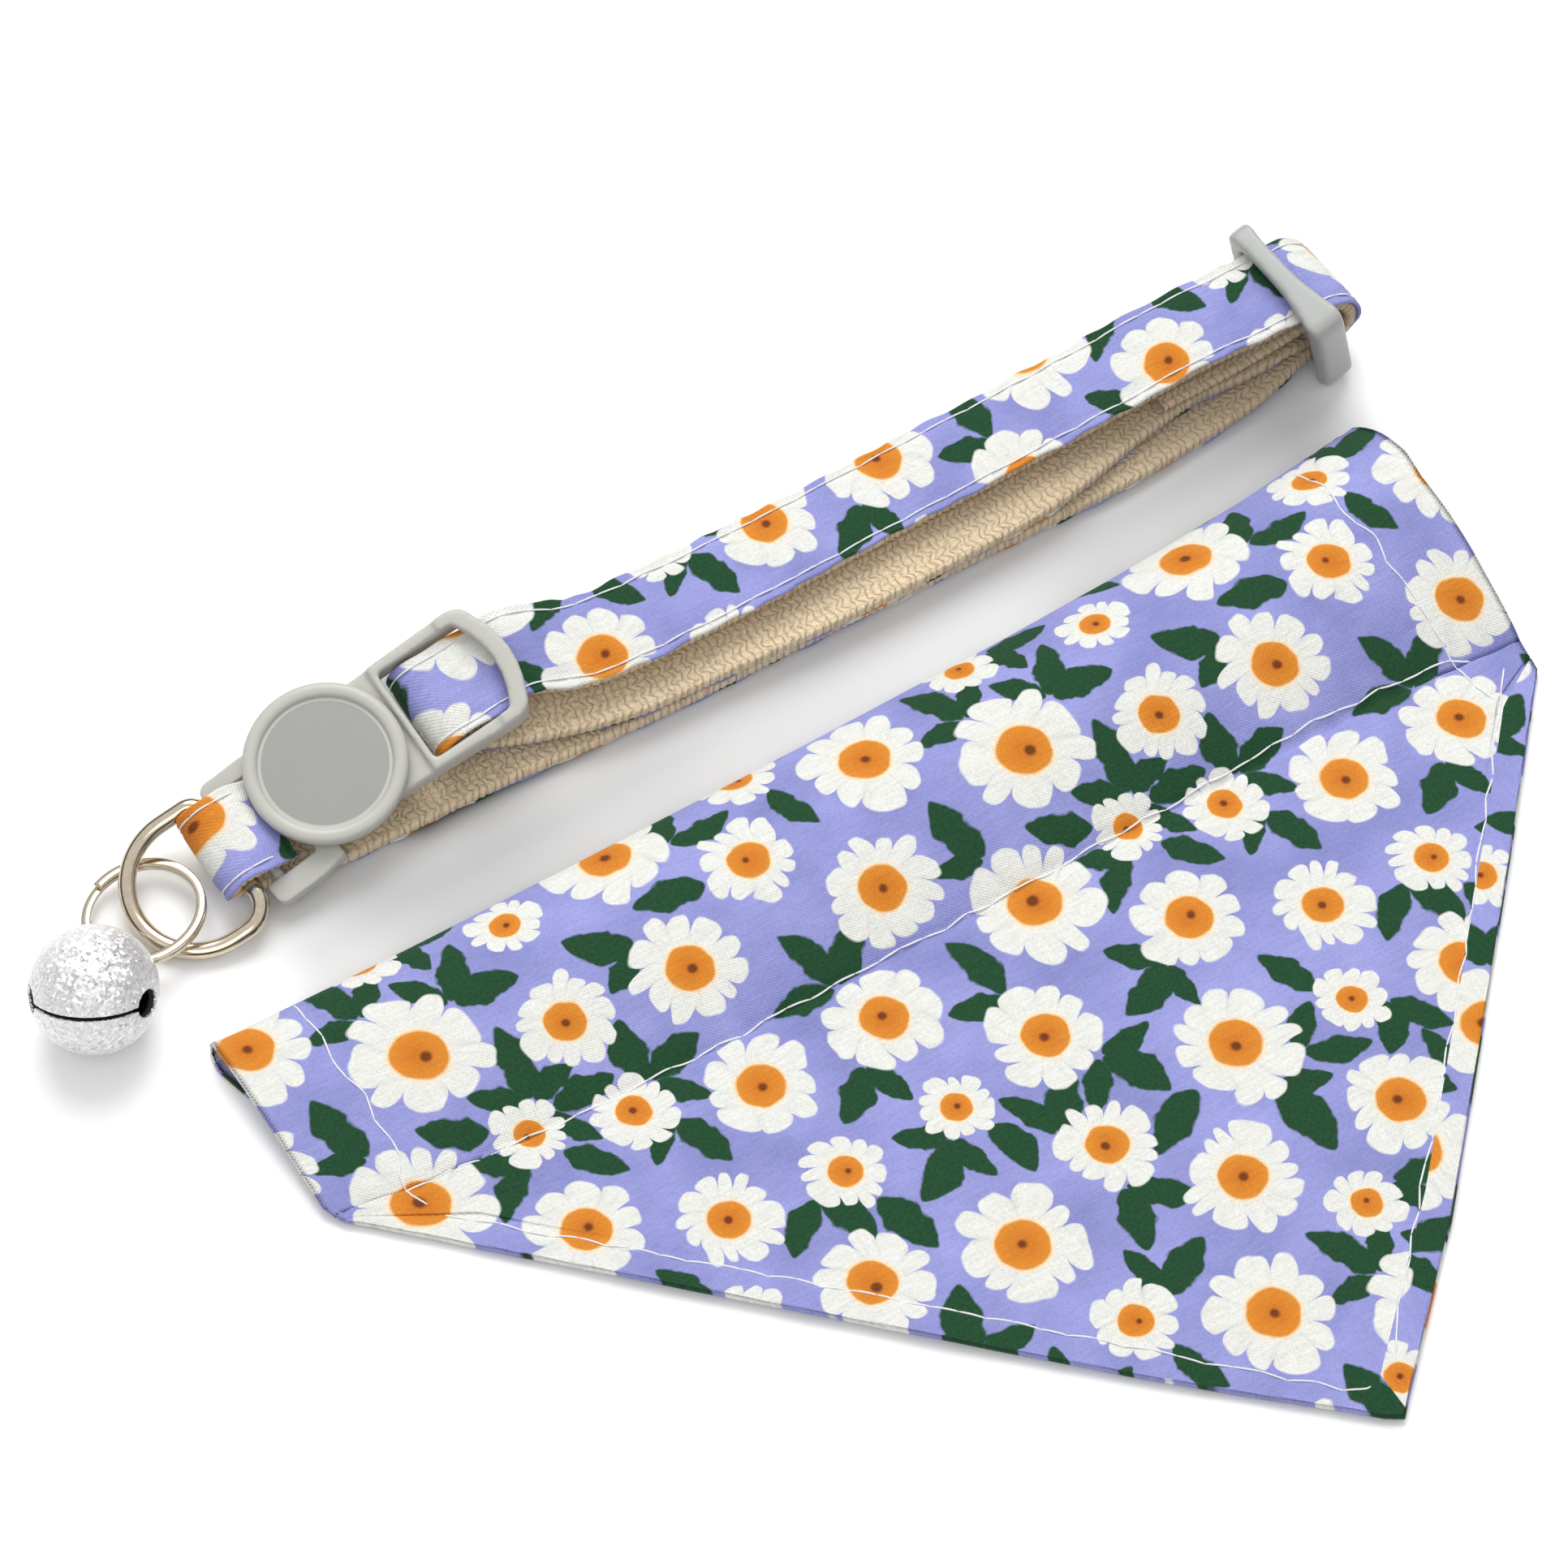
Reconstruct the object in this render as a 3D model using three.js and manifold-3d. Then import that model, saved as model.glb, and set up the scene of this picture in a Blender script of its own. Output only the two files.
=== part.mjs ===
// Pet bandana collar: a small adjustable collar lying flattened beside its slide-on bandana.
// Millimetres, +Z up. +X runs along the collar and the bandana's channel, from the bell to the
// slider; +Y runs from the bandana's tip towards the collar. The group's origin is the centre
// of the whole footprint, on the surface that everything lies on.

import * as THREE from 'three';
import { mergeVertices } from 'three/addons/utils/BufferGeometryUtils.js';
import Module from 'manifold-3d';

// ---------------------------------------------------------------- driving sizes

const CLEAR = 0.3; // air kept between pieces that rest on each other
const BEYOND = 20; // a cutting block's reach past what it cuts

const STRAP = { webWidth: 10.4, coverWidth: 10.9, web: 1.0, cover: 1.0, seat: 0.18, gap: 0.2 };

const BUCKLE = {
  place: [26.2, 20.4, 5.7], yaw: 1, pitch: 10.5, roll: 14, // degrees
  discRadius: 9.2, discTop: 5.0, discThick: 2.0, rimWidth: 1.75, recess: 0.5, rimRound: 0.6,
  frame: 3.4, arm: 1.6, inside: 5.85, // frame height, arm width, half the clear width
  sideways: -0.35, // the strap's line lies a little to the near side of the disc's centre
  bodyTop: 2.7, bodyFrom: -3.5,
  windowFrom: 10.4, windowTo: 20.9, bow: 1.4, endBar: 1.9, // window, bow of the end bar, bar width
  waist: 1.2, taper: 0.4, taperFrom: 4, cornerRound: 1.9, windowRound: 0.6, // the outline's shape
  discStep: 0.9, endStep: 2.2, wayStep: 1.6, // where the top steps down and the strap's way begins
  tunnel: 2.35, endTop: 3.8, // the strap passes below the tunnel's roof
  crossBar: { x: 14.1, z: -0.4, r: 1.0 },
  tailEnd: -12.9, tailInside: 5.95, tailArmFrom: 1.0, // the arms are cut away below
  tailArm: 2.1, tailArmNear: 2.9,
  tailShoulder: 2.3, tailRound: 1.5, tailTaper: 3, tailNarrow: 0.6,
  tailBar: { x: -11.1, z: 1.85, r: 0.65 },
  tailSideways: -1.1, tailYaw: 2, tailDip: 4.5, tailRoll: -3, // it sags a little in its housing
  tongue: { reach: 2.2, half: 2.5, from: 0.8, to: 1.8, play: 0.5 },
};

const SLIDER = {
  place: [152.5, 15.0, 7.972], yaw: 4, tilt: 75, lean: 3, // degrees
  along: 17.8, bar: 1.9, slot: 4.7, centreBar: 1.5, rail: 2.3, thick: 2.4, corner: 1.6,
  swell: [ // the rim's half thickness along its length, fullest at the near end
    { y: -9.0, half: 1.9 }, { y: -7.2, half: 2.25 }, { y: -4.6, half: 1.75 }, { y: -1.5, half: 1.3 },
    { y: 1.5, half: 1.2 }, { y: 5.5, half: 1.2 }, { y: 7.6, half: 1.45 }, { y: 9.0, half: 1.4 },
  ],
};

const D_RING = {
  place: [12.1, 17.2, 4.5], pitch: 12, roll: 12, // degrees; the middle of its straight side
  wire: 1.0, half: 7.9, flank: 4.6, corner: 1.6, nearCorner: 3.2, sides: 10,
  strapAt: 1.4, // the strap has slid towards the far end of the straight side
};
const SPLIT_RING = {
  place: [0.8, 17.4, 2.7], turn: [-9, -4, 0], radius: 6.5, // degrees
  wide: 1.0, thick: 0.5, pitch: 0.62, turns: 1.9, start: 150,
};
const BELL = {
  place: [-9.3, 9.3], radius: 7.1, wall: 0.9, slit: 0.5, hole: 1.6, slitFrom: 2.6,
  ringAngle: 205, eye: 1.8, eyeWire: 0.45, eyeOval: 1.15, eyeTurn: 30, slitAlong: [0.84, -0.54, 0.0],
};
const PELLET_RADIUS = 1.9;

const CLOTH = 1.1; // the bandana's cloth, with its hems laid flat
const SEAM = 2.0; // both layers where the channel is stitched down
const HEM = { width: 3.4, step: 0.45 }; // the turned hem and its extra thickness
const CHANNEL = {
  underFold: 0.7, overFold: 0.5, foldLow: 0.7, foldHigh: 1.5, // the rounding of the folded edge
  from: 0.04, to: 0.94, // the hollow's reach between the fold and the seam
  least: 0.06, fullness: 0.85, // the hollow's least height and how round its top is
  seamLift: 0.2, panelLift: 0.25, sag: 1.5, // how the underside leaves the table at the seam
};

// The bandana, one row for each section across the channel. x is the station, fold the
// channel's folded edge, seam its stitched line, hem the cut edge, crown the channel's
// height, peak where the crown stands (0 at the fold, 1 at the seam), lift the hem's
// height over the table.
const BANDANA = [
  { x: 0.0, fold: 0.0, seam: -25.4, hem: -26.6, crown: 3.6, peak: 0.24, lift: 0.5 },
  { x: 7.5, fold: -0.6, seam: -27.0, hem: -33.0, crown: 3.6, peak: 0.3, lift: 1.3 },
  { x: 24.0, fold: -1.3, seam: -28.8, hem: -49.6, crown: 4.0, peak: 0.38, lift: 2.0 },
  { x: 44.0, fold: -1.8, seam: -30.0, hem: -69.6, crown: 4.6, peak: 0.42, lift: 2.1 },
  { x: 63.0, fold: -2.2, seam: -30.6, hem: -88.2, crown: 5.2, peak: 0.44, lift: 1.6 },
  { x: 80.6, fold: -2.4, seam: -31.0, hem: -104.4, crown: 5.6, peak: 0.45, lift: 0.9 },
  { x: 82.3, fold: -2.4, seam: -31.0, hem: -105.5, crown: 5.65, peak: 0.45, lift: 0.85 },
  { x: 84.0, fold: -2.4, seam: -31.0, hem: -103.9, crown: 5.7, peak: 0.45, lift: 0.8 },
  { x: 100.0, fold: -2.5, seam: -31.3, hem: -89.6, crown: 6.2, peak: 0.45, lift: 0.7 },
  { x: 118.0, fold: -2.2, seam: -31.8, hem: -71.3, crown: 6.7, peak: 0.44, lift: 0.6 },
  { x: 134.0, fold: -1.4, seam: -32.6, hem: -54.8, crown: 7.3, peak: 0.42, lift: 0.6 },
  { x: 144.0, fold: -0.5, seam: -33.6, hem: -44.4, crown: 7.8, peak: 0.38, lift: 0.6 },
  { x: 150.2, fold: 0.0, seam: -34.4, hem: -38.4, crown: 8.0, peak: 0.34, lift: 0.6 },
];

// The strap is one ribbon. Its rows run from the sewn end at the slider round the buckle's
// cross bar, back through the slider and along the table to the D ring. z is the middle of
// the webbing, roll its sideways tilt in degrees. The printed side is on the left of travel.
const TAB = [
  { x: 132.6, y: 16.4, z: 6.1, roll: 2 },
  { x: 137.5, y: 16.2, z: 6.4, roll: 2 },
  { x: 143.0, y: 15.8, z: 7.3, roll: 3 },
  { x: 148.0, y: 15.3, z: 8.8, roll: 3 },
];
const RETURN_RUN = [
  { x: 148.6, y: 15.1, z: 6.2, roll: 3 },
  { x: 143.5, y: 15.6, z: 5.4, roll: 2 },
  { x: 137.0, y: 16.4, z: 4.6, roll: 1 },
  { x: 128.0, y: 15.4, z: 4.2, roll: 0 },
  { x: 115.0, y: 12.9, z: 4.15, roll: 0 },
  { x: 100.0, y: 12.5, z: 4.15, roll: 0 },
  { x: 84.0, y: 12.9, z: 4.15, roll: 0 },
  { x: 70.0, y: 13.9, z: 4.2, roll: 2 },
  { x: 60.0, y: 14.6, z: 4.6, roll: 5 },
  { x: 51.0, y: 16.8, z: 5.3, roll: 10 },
];
const TOP_RUN = [
  { x: 58.0, y: 18.4, z: 8.2, roll: 9 },
  { x: 70.0, y: 17.9, z: 7.4, roll: 6 },
  { x: 84.0, y: 17.9, z: 6.8, roll: 3 },
  { x: 98.0, y: 18.0, z: 6.6, roll: 2 },
  { x: 114.0, y: 17.9, z: 6.8, roll: 2 },
  { x: 128.0, y: 17.4, z: 8.0, roll: 2 },
  { x: 139.0, y: 16.8, z: 9.5, roll: 2 },
  { x: 146.5, y: 15.8, z: 10.6, roll: 3 },
];
const FOLD_YAW = 4; // degrees that the fold is turned, seen from above
const FOLD = [
  { x: 151.2, y: 15.4, z: 11.05, roll: 3 },
  { x: 154.2, y: 15.4, z: 10.75, roll: 3 },
  { x: 156.5, y: 15.4, z: 9.4, roll: 3 },
  { x: 157.6, y: 15.3, z: 7.4, roll: 3 },
  { x: 157.4, y: 15.2, z: 5.6, roll: 3 },
  { x: 156.0, y: 15.1, z: 4.75, roll: 3 },
  { x: 153.9, y: 15.0, z: 4.75, roll: 3 },
];
const LOWER_RUN = [
  { x: 149.5, y: 14.4, z: 3.8, roll: 2 },
  { x: 143.5, y: 13.3, z: 2.5, roll: 1 },
  { x: 137.0, y: 12.9, z: 1.8, roll: 0 },
  { x: 131.0, y: 12.6, z: 1.69, roll: 0 },
  { x: 126.0, y: 12.4, z: 1.69, roll: 0 },
  { x: 104.0, y: 13.1, z: 1.69, roll: 0 },
  { x: 82.0, y: 13.9, z: 1.69, roll: 0 },
  { x: 61.0, y: 14.6, z: 1.69, roll: 0 },
  { x: 44.0, y: 16.1, z: 1.69, roll: 0 },
  { x: 30.0, y: 16.7, z: 1.69, roll: 0 },
  { x: 24.0, y: 16.9, z: 1.72, roll: 0 },
  { x: 20.0, y: 17.5, z: 1.85, roll: 1 },
  { x: 16.8, y: 18.3, z: 2.05, roll: 6 },
];

const STEPS = 3; // steps between each pair of the strap's rows
const STEPS_ACROSS = 9; // points on each side of the bandana's channel
const FACETS = { disc: 40, bar: 12, ball: 28, ballHigh: 18, eye: 20, eyeWire: 8, ringTurn: 28 };

// ---------------------------------------------------------------- materials

function finish(color, roughness, metalness = 0) {
  return new THREE.MeshStandardMaterial({ color, roughness, metalness });
}

const MATERIAL = {
  print: finish(0x9a97dc, 0.9),
  webbing: finish(0xc9ab86, 0.95),
  plastic: finish(0xa9a9a4, 0.5),
  nickel: finish(0xcdc6b4, 0.25, 1),
  silver: finish(0xd4d4d4, 0.45, 1),
};

// ---------------------------------------------------------------- shape helpers

const wasm = await Module();
wasm.setup();

const radians = THREE.MathUtils.degToRad;
const lerp = THREE.MathUtils.lerp;

// Joins rings of equally many points into one closed skin. A closed loft joins its last
// ring to its first; an open one gets a flat cap on each end.
function loft(rings, closed = false) {
  const count = rings[0].length;
  const positions = rings.flat().flatMap((p) => [p.x, p.y, p.z]);
  const index = [];
  const last = closed ? rings.length : rings.length - 1;
  for (let i = 0; i < last; i++) {
    const a = i * count;
    const b = ((i + 1) % rings.length) * count;
    for (let j = 0; j < count; j++) {
      const k = (j + 1) % count;
      index.push(a + j, b + j, b + k, a + j, b + k, a + k);
    }
  }
  if (!closed) {
    capFaces(rings[0]).forEach(([i, j, k]) => index.push(i, j, k));
    const top = (rings.length - 1) * count;
    capFaces(rings[rings.length - 1]).forEach(([i, j, k]) => index.push(top + i, top + k, top + j));
  }
  const geometry = new THREE.BufferGeometry();
  geometry.setAttribute('position', new THREE.Float32BufferAttribute(positions, 3));
  geometry.setIndex(index);
  return outward(geometry);
}

// Triangles of a flat ring, wound as the ring runs.
function capFaces(ring) {
  const normal = new THREE.Vector3();
  ring.forEach((p, i) => normal.add(new THREE.Vector3().crossVectors(p, ring[(i + 1) % ring.length])));
  normal.normalize();
  const turn = new THREE.Quaternion().setFromUnitVectors(normal, new THREE.Vector3(0, 0, 1));
  const flat = ring.map((p) => p.clone().applyQuaternion(turn)).map((p) => new THREE.Vector2(p.x, p.y));
  return THREE.ShapeUtils.triangulateShape(flat, []);
}

function signedVolume(geometry) {
  const p = geometry.getAttribute('position');
  const at = (i) => new THREE.Vector3().fromBufferAttribute(p, geometry.index.getX(i));
  let volume = 0;
  for (let i = 0; i < geometry.index.count; i += 3) {
    volume += at(i).dot(at(i + 1).cross(at(i + 2))) / 6;
  }
  return volume;
}

// Turns a closed skin inside out if its faces point inwards.
function outward(geometry) {
  if (signedVolume(geometry) < 0) geometry.index.array.reverse();
  return geometry;
}

function toSolid(geometry) {
  const bare = geometry.clone();
  bare.deleteAttribute('normal');
  bare.deleteAttribute('uv');
  const merged = mergeVertices(bare, 1e-4);
  return new wasm.Manifold(new wasm.Mesh({
    numProp: 3,
    vertProperties: new Float32Array(merged.getAttribute('position').array),
    triVerts: new Uint32Array(merged.index.array),
  }));
}

function toGeometry(solid) {
  const mesh = solid.getMesh();
  const geometry = new THREE.BufferGeometry();
  geometry.setAttribute('position', new THREE.Float32BufferAttribute(mesh.vertProperties, 3));
  geometry.setIndex(Array.from(mesh.triVerts));
  return geometry;
}

function join(...geometries) {
  return toGeometry(geometries.map(toSolid).reduce((a, b) => a.add(b)));
}

function cut(geometry, ...tools) {
  return toGeometry(tools.map(toSolid).reduce((a, b) => a.subtract(b), toSolid(geometry)));
}

function box(x0, x1, y0, y1, z0, z1) {
  return new THREE.BoxGeometry(x1 - x0, y1 - y0, z1 - z0)
    .translate((x0 + x1) / 2, (y0 + y1) / 2, (z0 + z1) / 2);
}

function barAlongY(x, z, radius, halfLength) {
  return new THREE.CylinderGeometry(radius, radius, 2 * halfLength, FACETS.bar).translate(x, 0, z);
}

function extrude(shape, z0, z1, curveSegments = 6) {
  const options = { depth: z1 - z0, bevelEnabled: false, curveSegments };
  return new THREE.ExtrudeGeometry(shape, options).translate(0, 0, z0);
}

function roundedRectangle(halfX, halfY, corner) {
  const shape = new THREE.Shape();
  const corners = [[1, 1], [-1, 1], [-1, -1], [1, -1]];
  corners.forEach(([sx, sy], i) => {
    const start = (i * Math.PI) / 2;
    shape.absarc(sx * (halfX - corner), sy * (halfY - corner), corner, start, start + Math.PI / 2, false);
  });
  return shape;
}

// Round wire along a list of points; normal is the direction across the wire's plane.
function wire(points, radius, sides, normal, closed) {
  const rings = points.map((p, i) => {
    const before = points[closed ? (i + points.length - 1) % points.length : Math.max(i - 1, 0)];
    const after = points[closed ? (i + 1) % points.length : Math.min(i + 1, points.length - 1)];
    const along = after.clone().sub(before).normalize();
    const across = new THREE.Vector3().crossVectors(normal, along).normalize();
    return Array.from({ length: sides }, (_, k) => {
      const angle = (2 * Math.PI * (k + 0.5)) / sides;
      return p.clone()
        .addScaledVector(across, radius * Math.cos(angle))
        .addScaledVector(normal, radius * Math.sin(angle));
    });
  });
  return loft(rings, closed);
}

const assembly = new THREE.Group();

function piece(name, geometry, material, parent = assembly) {
  const mesh = new THREE.Mesh(geometry, material);
  mesh.name = name;
  parent.add(mesh);
  return mesh;
}

// ---------------------------------------------------------------- buckle

const buckle = new THREE.Group();
buckle.position.set(...BUCKLE.place);
buckle.rotation.set(radians(BUCKLE.roll), radians(-BUCKLE.pitch), radians(BUCKLE.yaw), 'ZYX');
buckle.updateMatrixWorld(true);
assembly.add(buckle);

const windowSide = new THREE.Group();
windowSide.position.set(0, BUCKLE.sideways, 0);
buckle.add(windowSide);
const tailSide = new THREE.Group();
tailSide.position.set(0, BUCKLE.tailSideways, 0);
tailSide.rotation.set(
  radians(BUCKLE.tailRoll), radians(-BUCKLE.tailDip), radians(BUCKLE.tailYaw), 'ZYX',
);
buckle.add(tailSide);
buckle.updateMatrixWorld(true);

function buckleDisc() {
  const { discRadius: r, discTop: top, discThick: thick, rimWidth, recess, rimRound } = BUCKLE;
  const bottom = top - thick;
  const ease = 0.3 * rimRound;
  const profile = [
    [0, bottom], [r - rimRound, bottom], [r, bottom + rimRound], [r, top - rimRound],
    [r - ease, top - ease], [r - rimRound, top],
    [r - rimWidth + ease, top], [r - rimWidth, top - recess], [0, top - recess],
  ].map(([x, y]) => new THREE.Vector2(x, y));
  return new THREE.LatheGeometry(profile, FACETS.disc).rotateX(Math.PI / 2);
}

// The half with the window: side arms, a bowed end bar over the strap, a cross bar that the
// strap is looped on, and the housing under the disc.
function buckleWindowHalf() {
  const b = BUCKLE;
  const outside = b.inside + b.arm;
  const end = b.windowTo + b.endBar;
  const outline = new THREE.Shape();
  const straightTo = b.windowTo - 1;
  const corner = outside - b.cornerRound;
  outline.moveTo(b.bodyFrom, -outside + b.waist);
  outline.lineTo(b.windowFrom - b.taperFrom, -outside + b.taper);
  outline.lineTo(straightTo, -outside);
  outline.quadraticCurveTo(end - b.taper, -outside, end, -corner);
  outline.quadraticCurveTo(end + 2 * b.bow, 0, end, corner);
  outline.quadraticCurveTo(end - b.taper, outside, straightTo, outside);
  outline.lineTo(b.windowFrom - b.taperFrom, outside - b.taper);
  outline.lineTo(b.bodyFrom, outside - b.waist);
  const window = new THREE.Path();
  const windowCorner = b.windowTo - b.windowRound;
  window.moveTo(b.windowFrom, -b.inside);
  window.lineTo(b.windowFrom, b.inside);
  window.lineTo(windowCorner, b.inside);
  window.quadraticCurveTo(b.windowTo + 2 * b.bow, 0, windowCorner, -b.inside);
  outline.holes.push(window);
  const frame = extrude(outline, 0, b.endTop);
  const discEnd = b.windowFrom - b.discStep;
  const armEnd = b.windowTo - b.endStep;
  const wayStart = b.windowTo - b.wayStep;
  const overDisc = box(-BEYOND, discEnd, -BEYOND, BEYOND, b.bodyTop, BEYOND);
  const overArms = box(discEnd, armEnd, -BEYOND, BEYOND, b.frame, BEYOND);
  const strapWay = box(wayStart, 2 * BEYOND, -b.inside, b.inside, -BEYOND, b.tunnel);
  const innerWay = box(discEnd, b.windowFrom + 1, -b.inside, b.inside, -BEYOND, b.tunnel);
  const cross = barAlongY(b.crossBar.x, b.crossBar.z, b.crossBar.r, b.inside + b.arm / 2);
  const { reach, half, from, to, play } = b.tongue;
  const offset = b.tailSideways - b.sideways;
  const socket = box(
    b.bodyFrom - 1, reach + play, offset - half - play, offset + half + play, from - play, to + play,
  );
  return cut(join(frame, cross), overDisc, overArms, strapWay, innerWay, socket);
}

// The half with the tail: two arms, the end bar that the strap is sewn round, and the
// tongue that clicks into the housing.
function buckleTailHalf() {
  const b = BUCKLE;
  const near = b.tailInside + b.tailArmNear;
  const far = b.tailInside + b.tailArm;
  const joint = b.bodyFrom - CLEAR;
  const parts = [
    box(joint - b.tailShoulder, joint, b.tailNarrow - near, far - b.tailNarrow, 0, b.bodyTop),
    box(b.bodyFrom - 1, b.tongue.reach, -b.tongue.half, b.tongue.half, b.tongue.from, b.tongue.to),
    barAlongY(b.tailBar.x, b.tailBar.z, b.tailBar.r, b.tailInside + b.tailArm / 2),
  ];
  for (const [side, outside] of [[-1, near], [1, far]]) {
    const narrow = outside - b.tailNarrow;
    const arm = new THREE.Shape();
    arm.moveTo(joint, side * b.tailInside);
    arm.lineTo(joint, side * narrow);
    arm.lineTo(joint - b.tailTaper, side * outside);
    arm.lineTo(b.tailEnd + b.tailRound, side * outside);
    arm.quadraticCurveTo(b.tailEnd, side * outside, b.tailEnd, side * (outside - b.tailRound));
    arm.lineTo(b.tailEnd, side * b.tailInside);
    parts.push(extrude(arm, b.tailArmFrom, b.bodyTop));
  }
  return join(...parts);
}

piece('buckle_disc', buckleDisc(), MATERIAL.plastic, buckle);
piece('buckle_window_half', buckleWindowHalf(), MATERIAL.plastic, windowSide);
piece('buckle_tail_half', buckleTailHalf(), MATERIAL.plastic, tailSide);

// ---------------------------------------------------------------- slider

const slider = new THREE.Group();
slider.position.set(...SLIDER.place);
slider.rotation.set(radians(SLIDER.lean), radians(SLIDER.tilt), radians(SLIDER.yaw), 'ZXY');
slider.updateMatrixWorld(true);
assembly.add(slider);

// A three-bar slider: two slots in a rounded plate, its bars along Y. The upper bar and the
// ends are thicker, and the bars that the strap turns on stay thin.
function triGlide() {
  const s = SLIDER;
  const halfAcross = s.bar + s.slot + s.centreBar / 2;
  const halfSlot = s.along / 2 - s.rail;
  const plate = extrude(roundedRectangle(halfAcross, s.along / 2, s.corner), -BEYOND, BEYOND, 4);
  const side = new THREE.Shape([
    ...s.swell.map(({ y, half }) => new THREE.Vector2(y, half)),
    ...s.swell.map(({ y, half }) => new THREE.Vector2(y, -half)).reverse(),
  ]);
  const alongY = new THREE.Matrix4().makeBasis(
    new THREE.Vector3(0, 1, 0), new THREE.Vector3(0, 0, 1), new THREE.Vector3(1, 0, 0),
  );
  const swollen = extrude(side, -BEYOND, BEYOND).applyMatrix4(alongY);
  const near = s.centreBar / 2;
  const far = near + s.slot;
  return cut(
    toGeometry(toSolid(plate).intersect(toSolid(swollen))),
    box(near, far, -halfSlot, halfSlot, -BEYOND, BEYOND),
    box(-far, -near, -halfSlot, halfSlot, -BEYOND, BEYOND),
    box(-far, BEYOND, -halfSlot, halfSlot, s.thick / 2, BEYOND),
    box(-far, BEYOND, -halfSlot, halfSlot, -BEYOND, -s.thick / 2),
  );
}

piece('slider', triGlide(), MATERIAL.plastic, slider);

// ---------------------------------------------------------------- strap

const acrossY = (roll) => new THREE.Vector3(0, Math.cos(radians(roll)), Math.sin(radians(roll)));

const upwards = new THREE.Vector3(0, 0, 1);
const fromRow = (row) => ({ at: new THREE.Vector3(row.x, row.y, row.z), across: acrossY(row.roll) });
const turned = (row) => ({ ...row, across: row.across.clone().applyAxisAngle(upwards, radians(FOLD_YAW)) });

// A strap row given in a group's own frame.
function fromGroup(group, x, z) {
  return {
    at: group.localToWorld(new THREE.Vector3(x, 0, z)),
    across: new THREE.Vector3(0, 1, 0).transformDirection(group.matrixWorld),
  };
}

// Rows round a bar: clockwise as seen from -Y, from one angle to another, in steps.
function roundBar(group, bar, radius, fromAngle, toAngle, steps) {
  return Array.from({ length: steps + 1 }, (_, i) => {
    const angle = radians(lerp(fromAngle, toAngle, i / steps));
    return fromGroup(group, bar.x + radius * Math.cos(angle), bar.z + radius * Math.sin(angle));
  });
}

const wrapRadius = (bar) => bar.r + STRAP.gap + STRAP.web / 2;

const centreWrap = { x: 0, z: 0, r: Math.hypot(SLIDER.thick, SLIDER.centreBar) / 2 };

const dRing = new THREE.Group();
dRing.position.set(...D_RING.place);
dRing.rotation.set(radians(D_RING.roll), radians(-D_RING.pitch), 0, 'ZYX');
assembly.add(dRing);
dRing.updateMatrixWorld(true);
const dSeat = { x: 0, z: 0, r: D_RING.wire };
const dWrap = wrapRadius(dSeat);
const strapSeat = new THREE.Group();
strapSeat.position.set(0, D_RING.strapAt, 0);
dRing.add(strapSeat);
dRing.updateMatrixWorld(true);

const tab = [
  ...TAB.map(fromRow),
  ...roundBar(slider, centreWrap, wrapRadius(centreWrap), 165, 15, 4),
];
const mainRun = [
  ...RETURN_RUN.map(fromRow),
  ...roundBar(windowSide, BUCKLE.crossBar, wrapRadius(BUCKLE.crossBar), 270, 90, 6),
  fromGroup(windowSide, BUCKLE.windowTo - 0.8, 0.3),
  fromGroup(windowSide, BUCKLE.windowTo + BUCKLE.endBar + 1.4, -0.5),
  ...TOP_RUN.map(fromRow),
  ...FOLD.map(fromRow).map(turned),
  ...LOWER_RUN.map(fromRow),
  ...roundBar(strapSeat, dSeat, dWrap, 238, 60, 7),
  fromGroup(strapSeat, 3.0, 0.5),
  fromGroup(strapSeat, 5.5, -1.45),
];

// The ribbon's rows, smoothed.
function smoothRows(rows, steps) {
  const line = new THREE.CatmullRomCurve3(rows.map((row) => row.at), false, 'centripetal');
  const sideways = new THREE.CatmullRomCurve3(rows.map((row) => row.across), false, 'centripetal');
  const count = (rows.length - 1) * steps;
  return Array.from({ length: count + 1 }, (_, i) => {
    const t = i / count;
    const along = line.getTangent(t);
    const across = sideways.getPoint(t);
    across.addScaledVector(along, -across.dot(along)).normalize();
    return { at: line.getPoint(t), across, out: new THREE.Vector3().crossVectors(along, across) };
  });
}

// A flat band on the ribbon's rows, from one height to another on its printed side.
function band(rows, width, from, to) {
  return loft(rows.map(({ at, across, out }) => [
    [-width / 2, from], [width / 2, from], [width / 2, to], [-width / 2, to],
  ].map(([u, v]) => at.clone().addScaledVector(across, u).addScaledVector(out, v))));
}

const webbingRows = smoothRows([...tab, ...mainRun], STEPS);
const coverRows = webbingRows.slice(tab.length * STEPS);
const coverFrom = STRAP.web / 2 + STRAP.seat;
const webbing = band(webbingRows, STRAP.webWidth, -STRAP.web / 2, STRAP.web / 2);
const cover = band(coverRows, STRAP.coverWidth, coverFrom, coverFrom + STRAP.cover);
piece('strap_webbing', webbing, MATERIAL.webbing);
piece('strap_cover', cover, MATERIAL.print);

// ---------------------------------------------------------------- D ring, split ring, bell

// A straight side in the strap's loop, two short flanks and a round side towards -X.
function dRingPoints() {
  const { half, flank, corner, nearCorner } = D_RING;
  const on = (x, y) => new THREE.Vector3(x, y, 0);
  const arcPoints = (cx, cy, r, from, to, steps) => Array.from({ length: steps + 1 }, (_, i) => {
    const angle = radians(lerp(from, to, i / steps));
    return on(cx + r * Math.cos(angle), cy + r * Math.sin(angle));
  });
  return [
    on(0, -(half - corner) / 3),
    on(0, (half - corner) / 3),
    ...arcPoints(-corner, half - corner, corner, 0, 90, 4),
    ...arcPoints(-flank, 0, half, 90, 270, 22),
    ...arcPoints(-nearCorner, nearCorner - half, nearCorner, 270, 360, 5),
  ];
}

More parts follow.
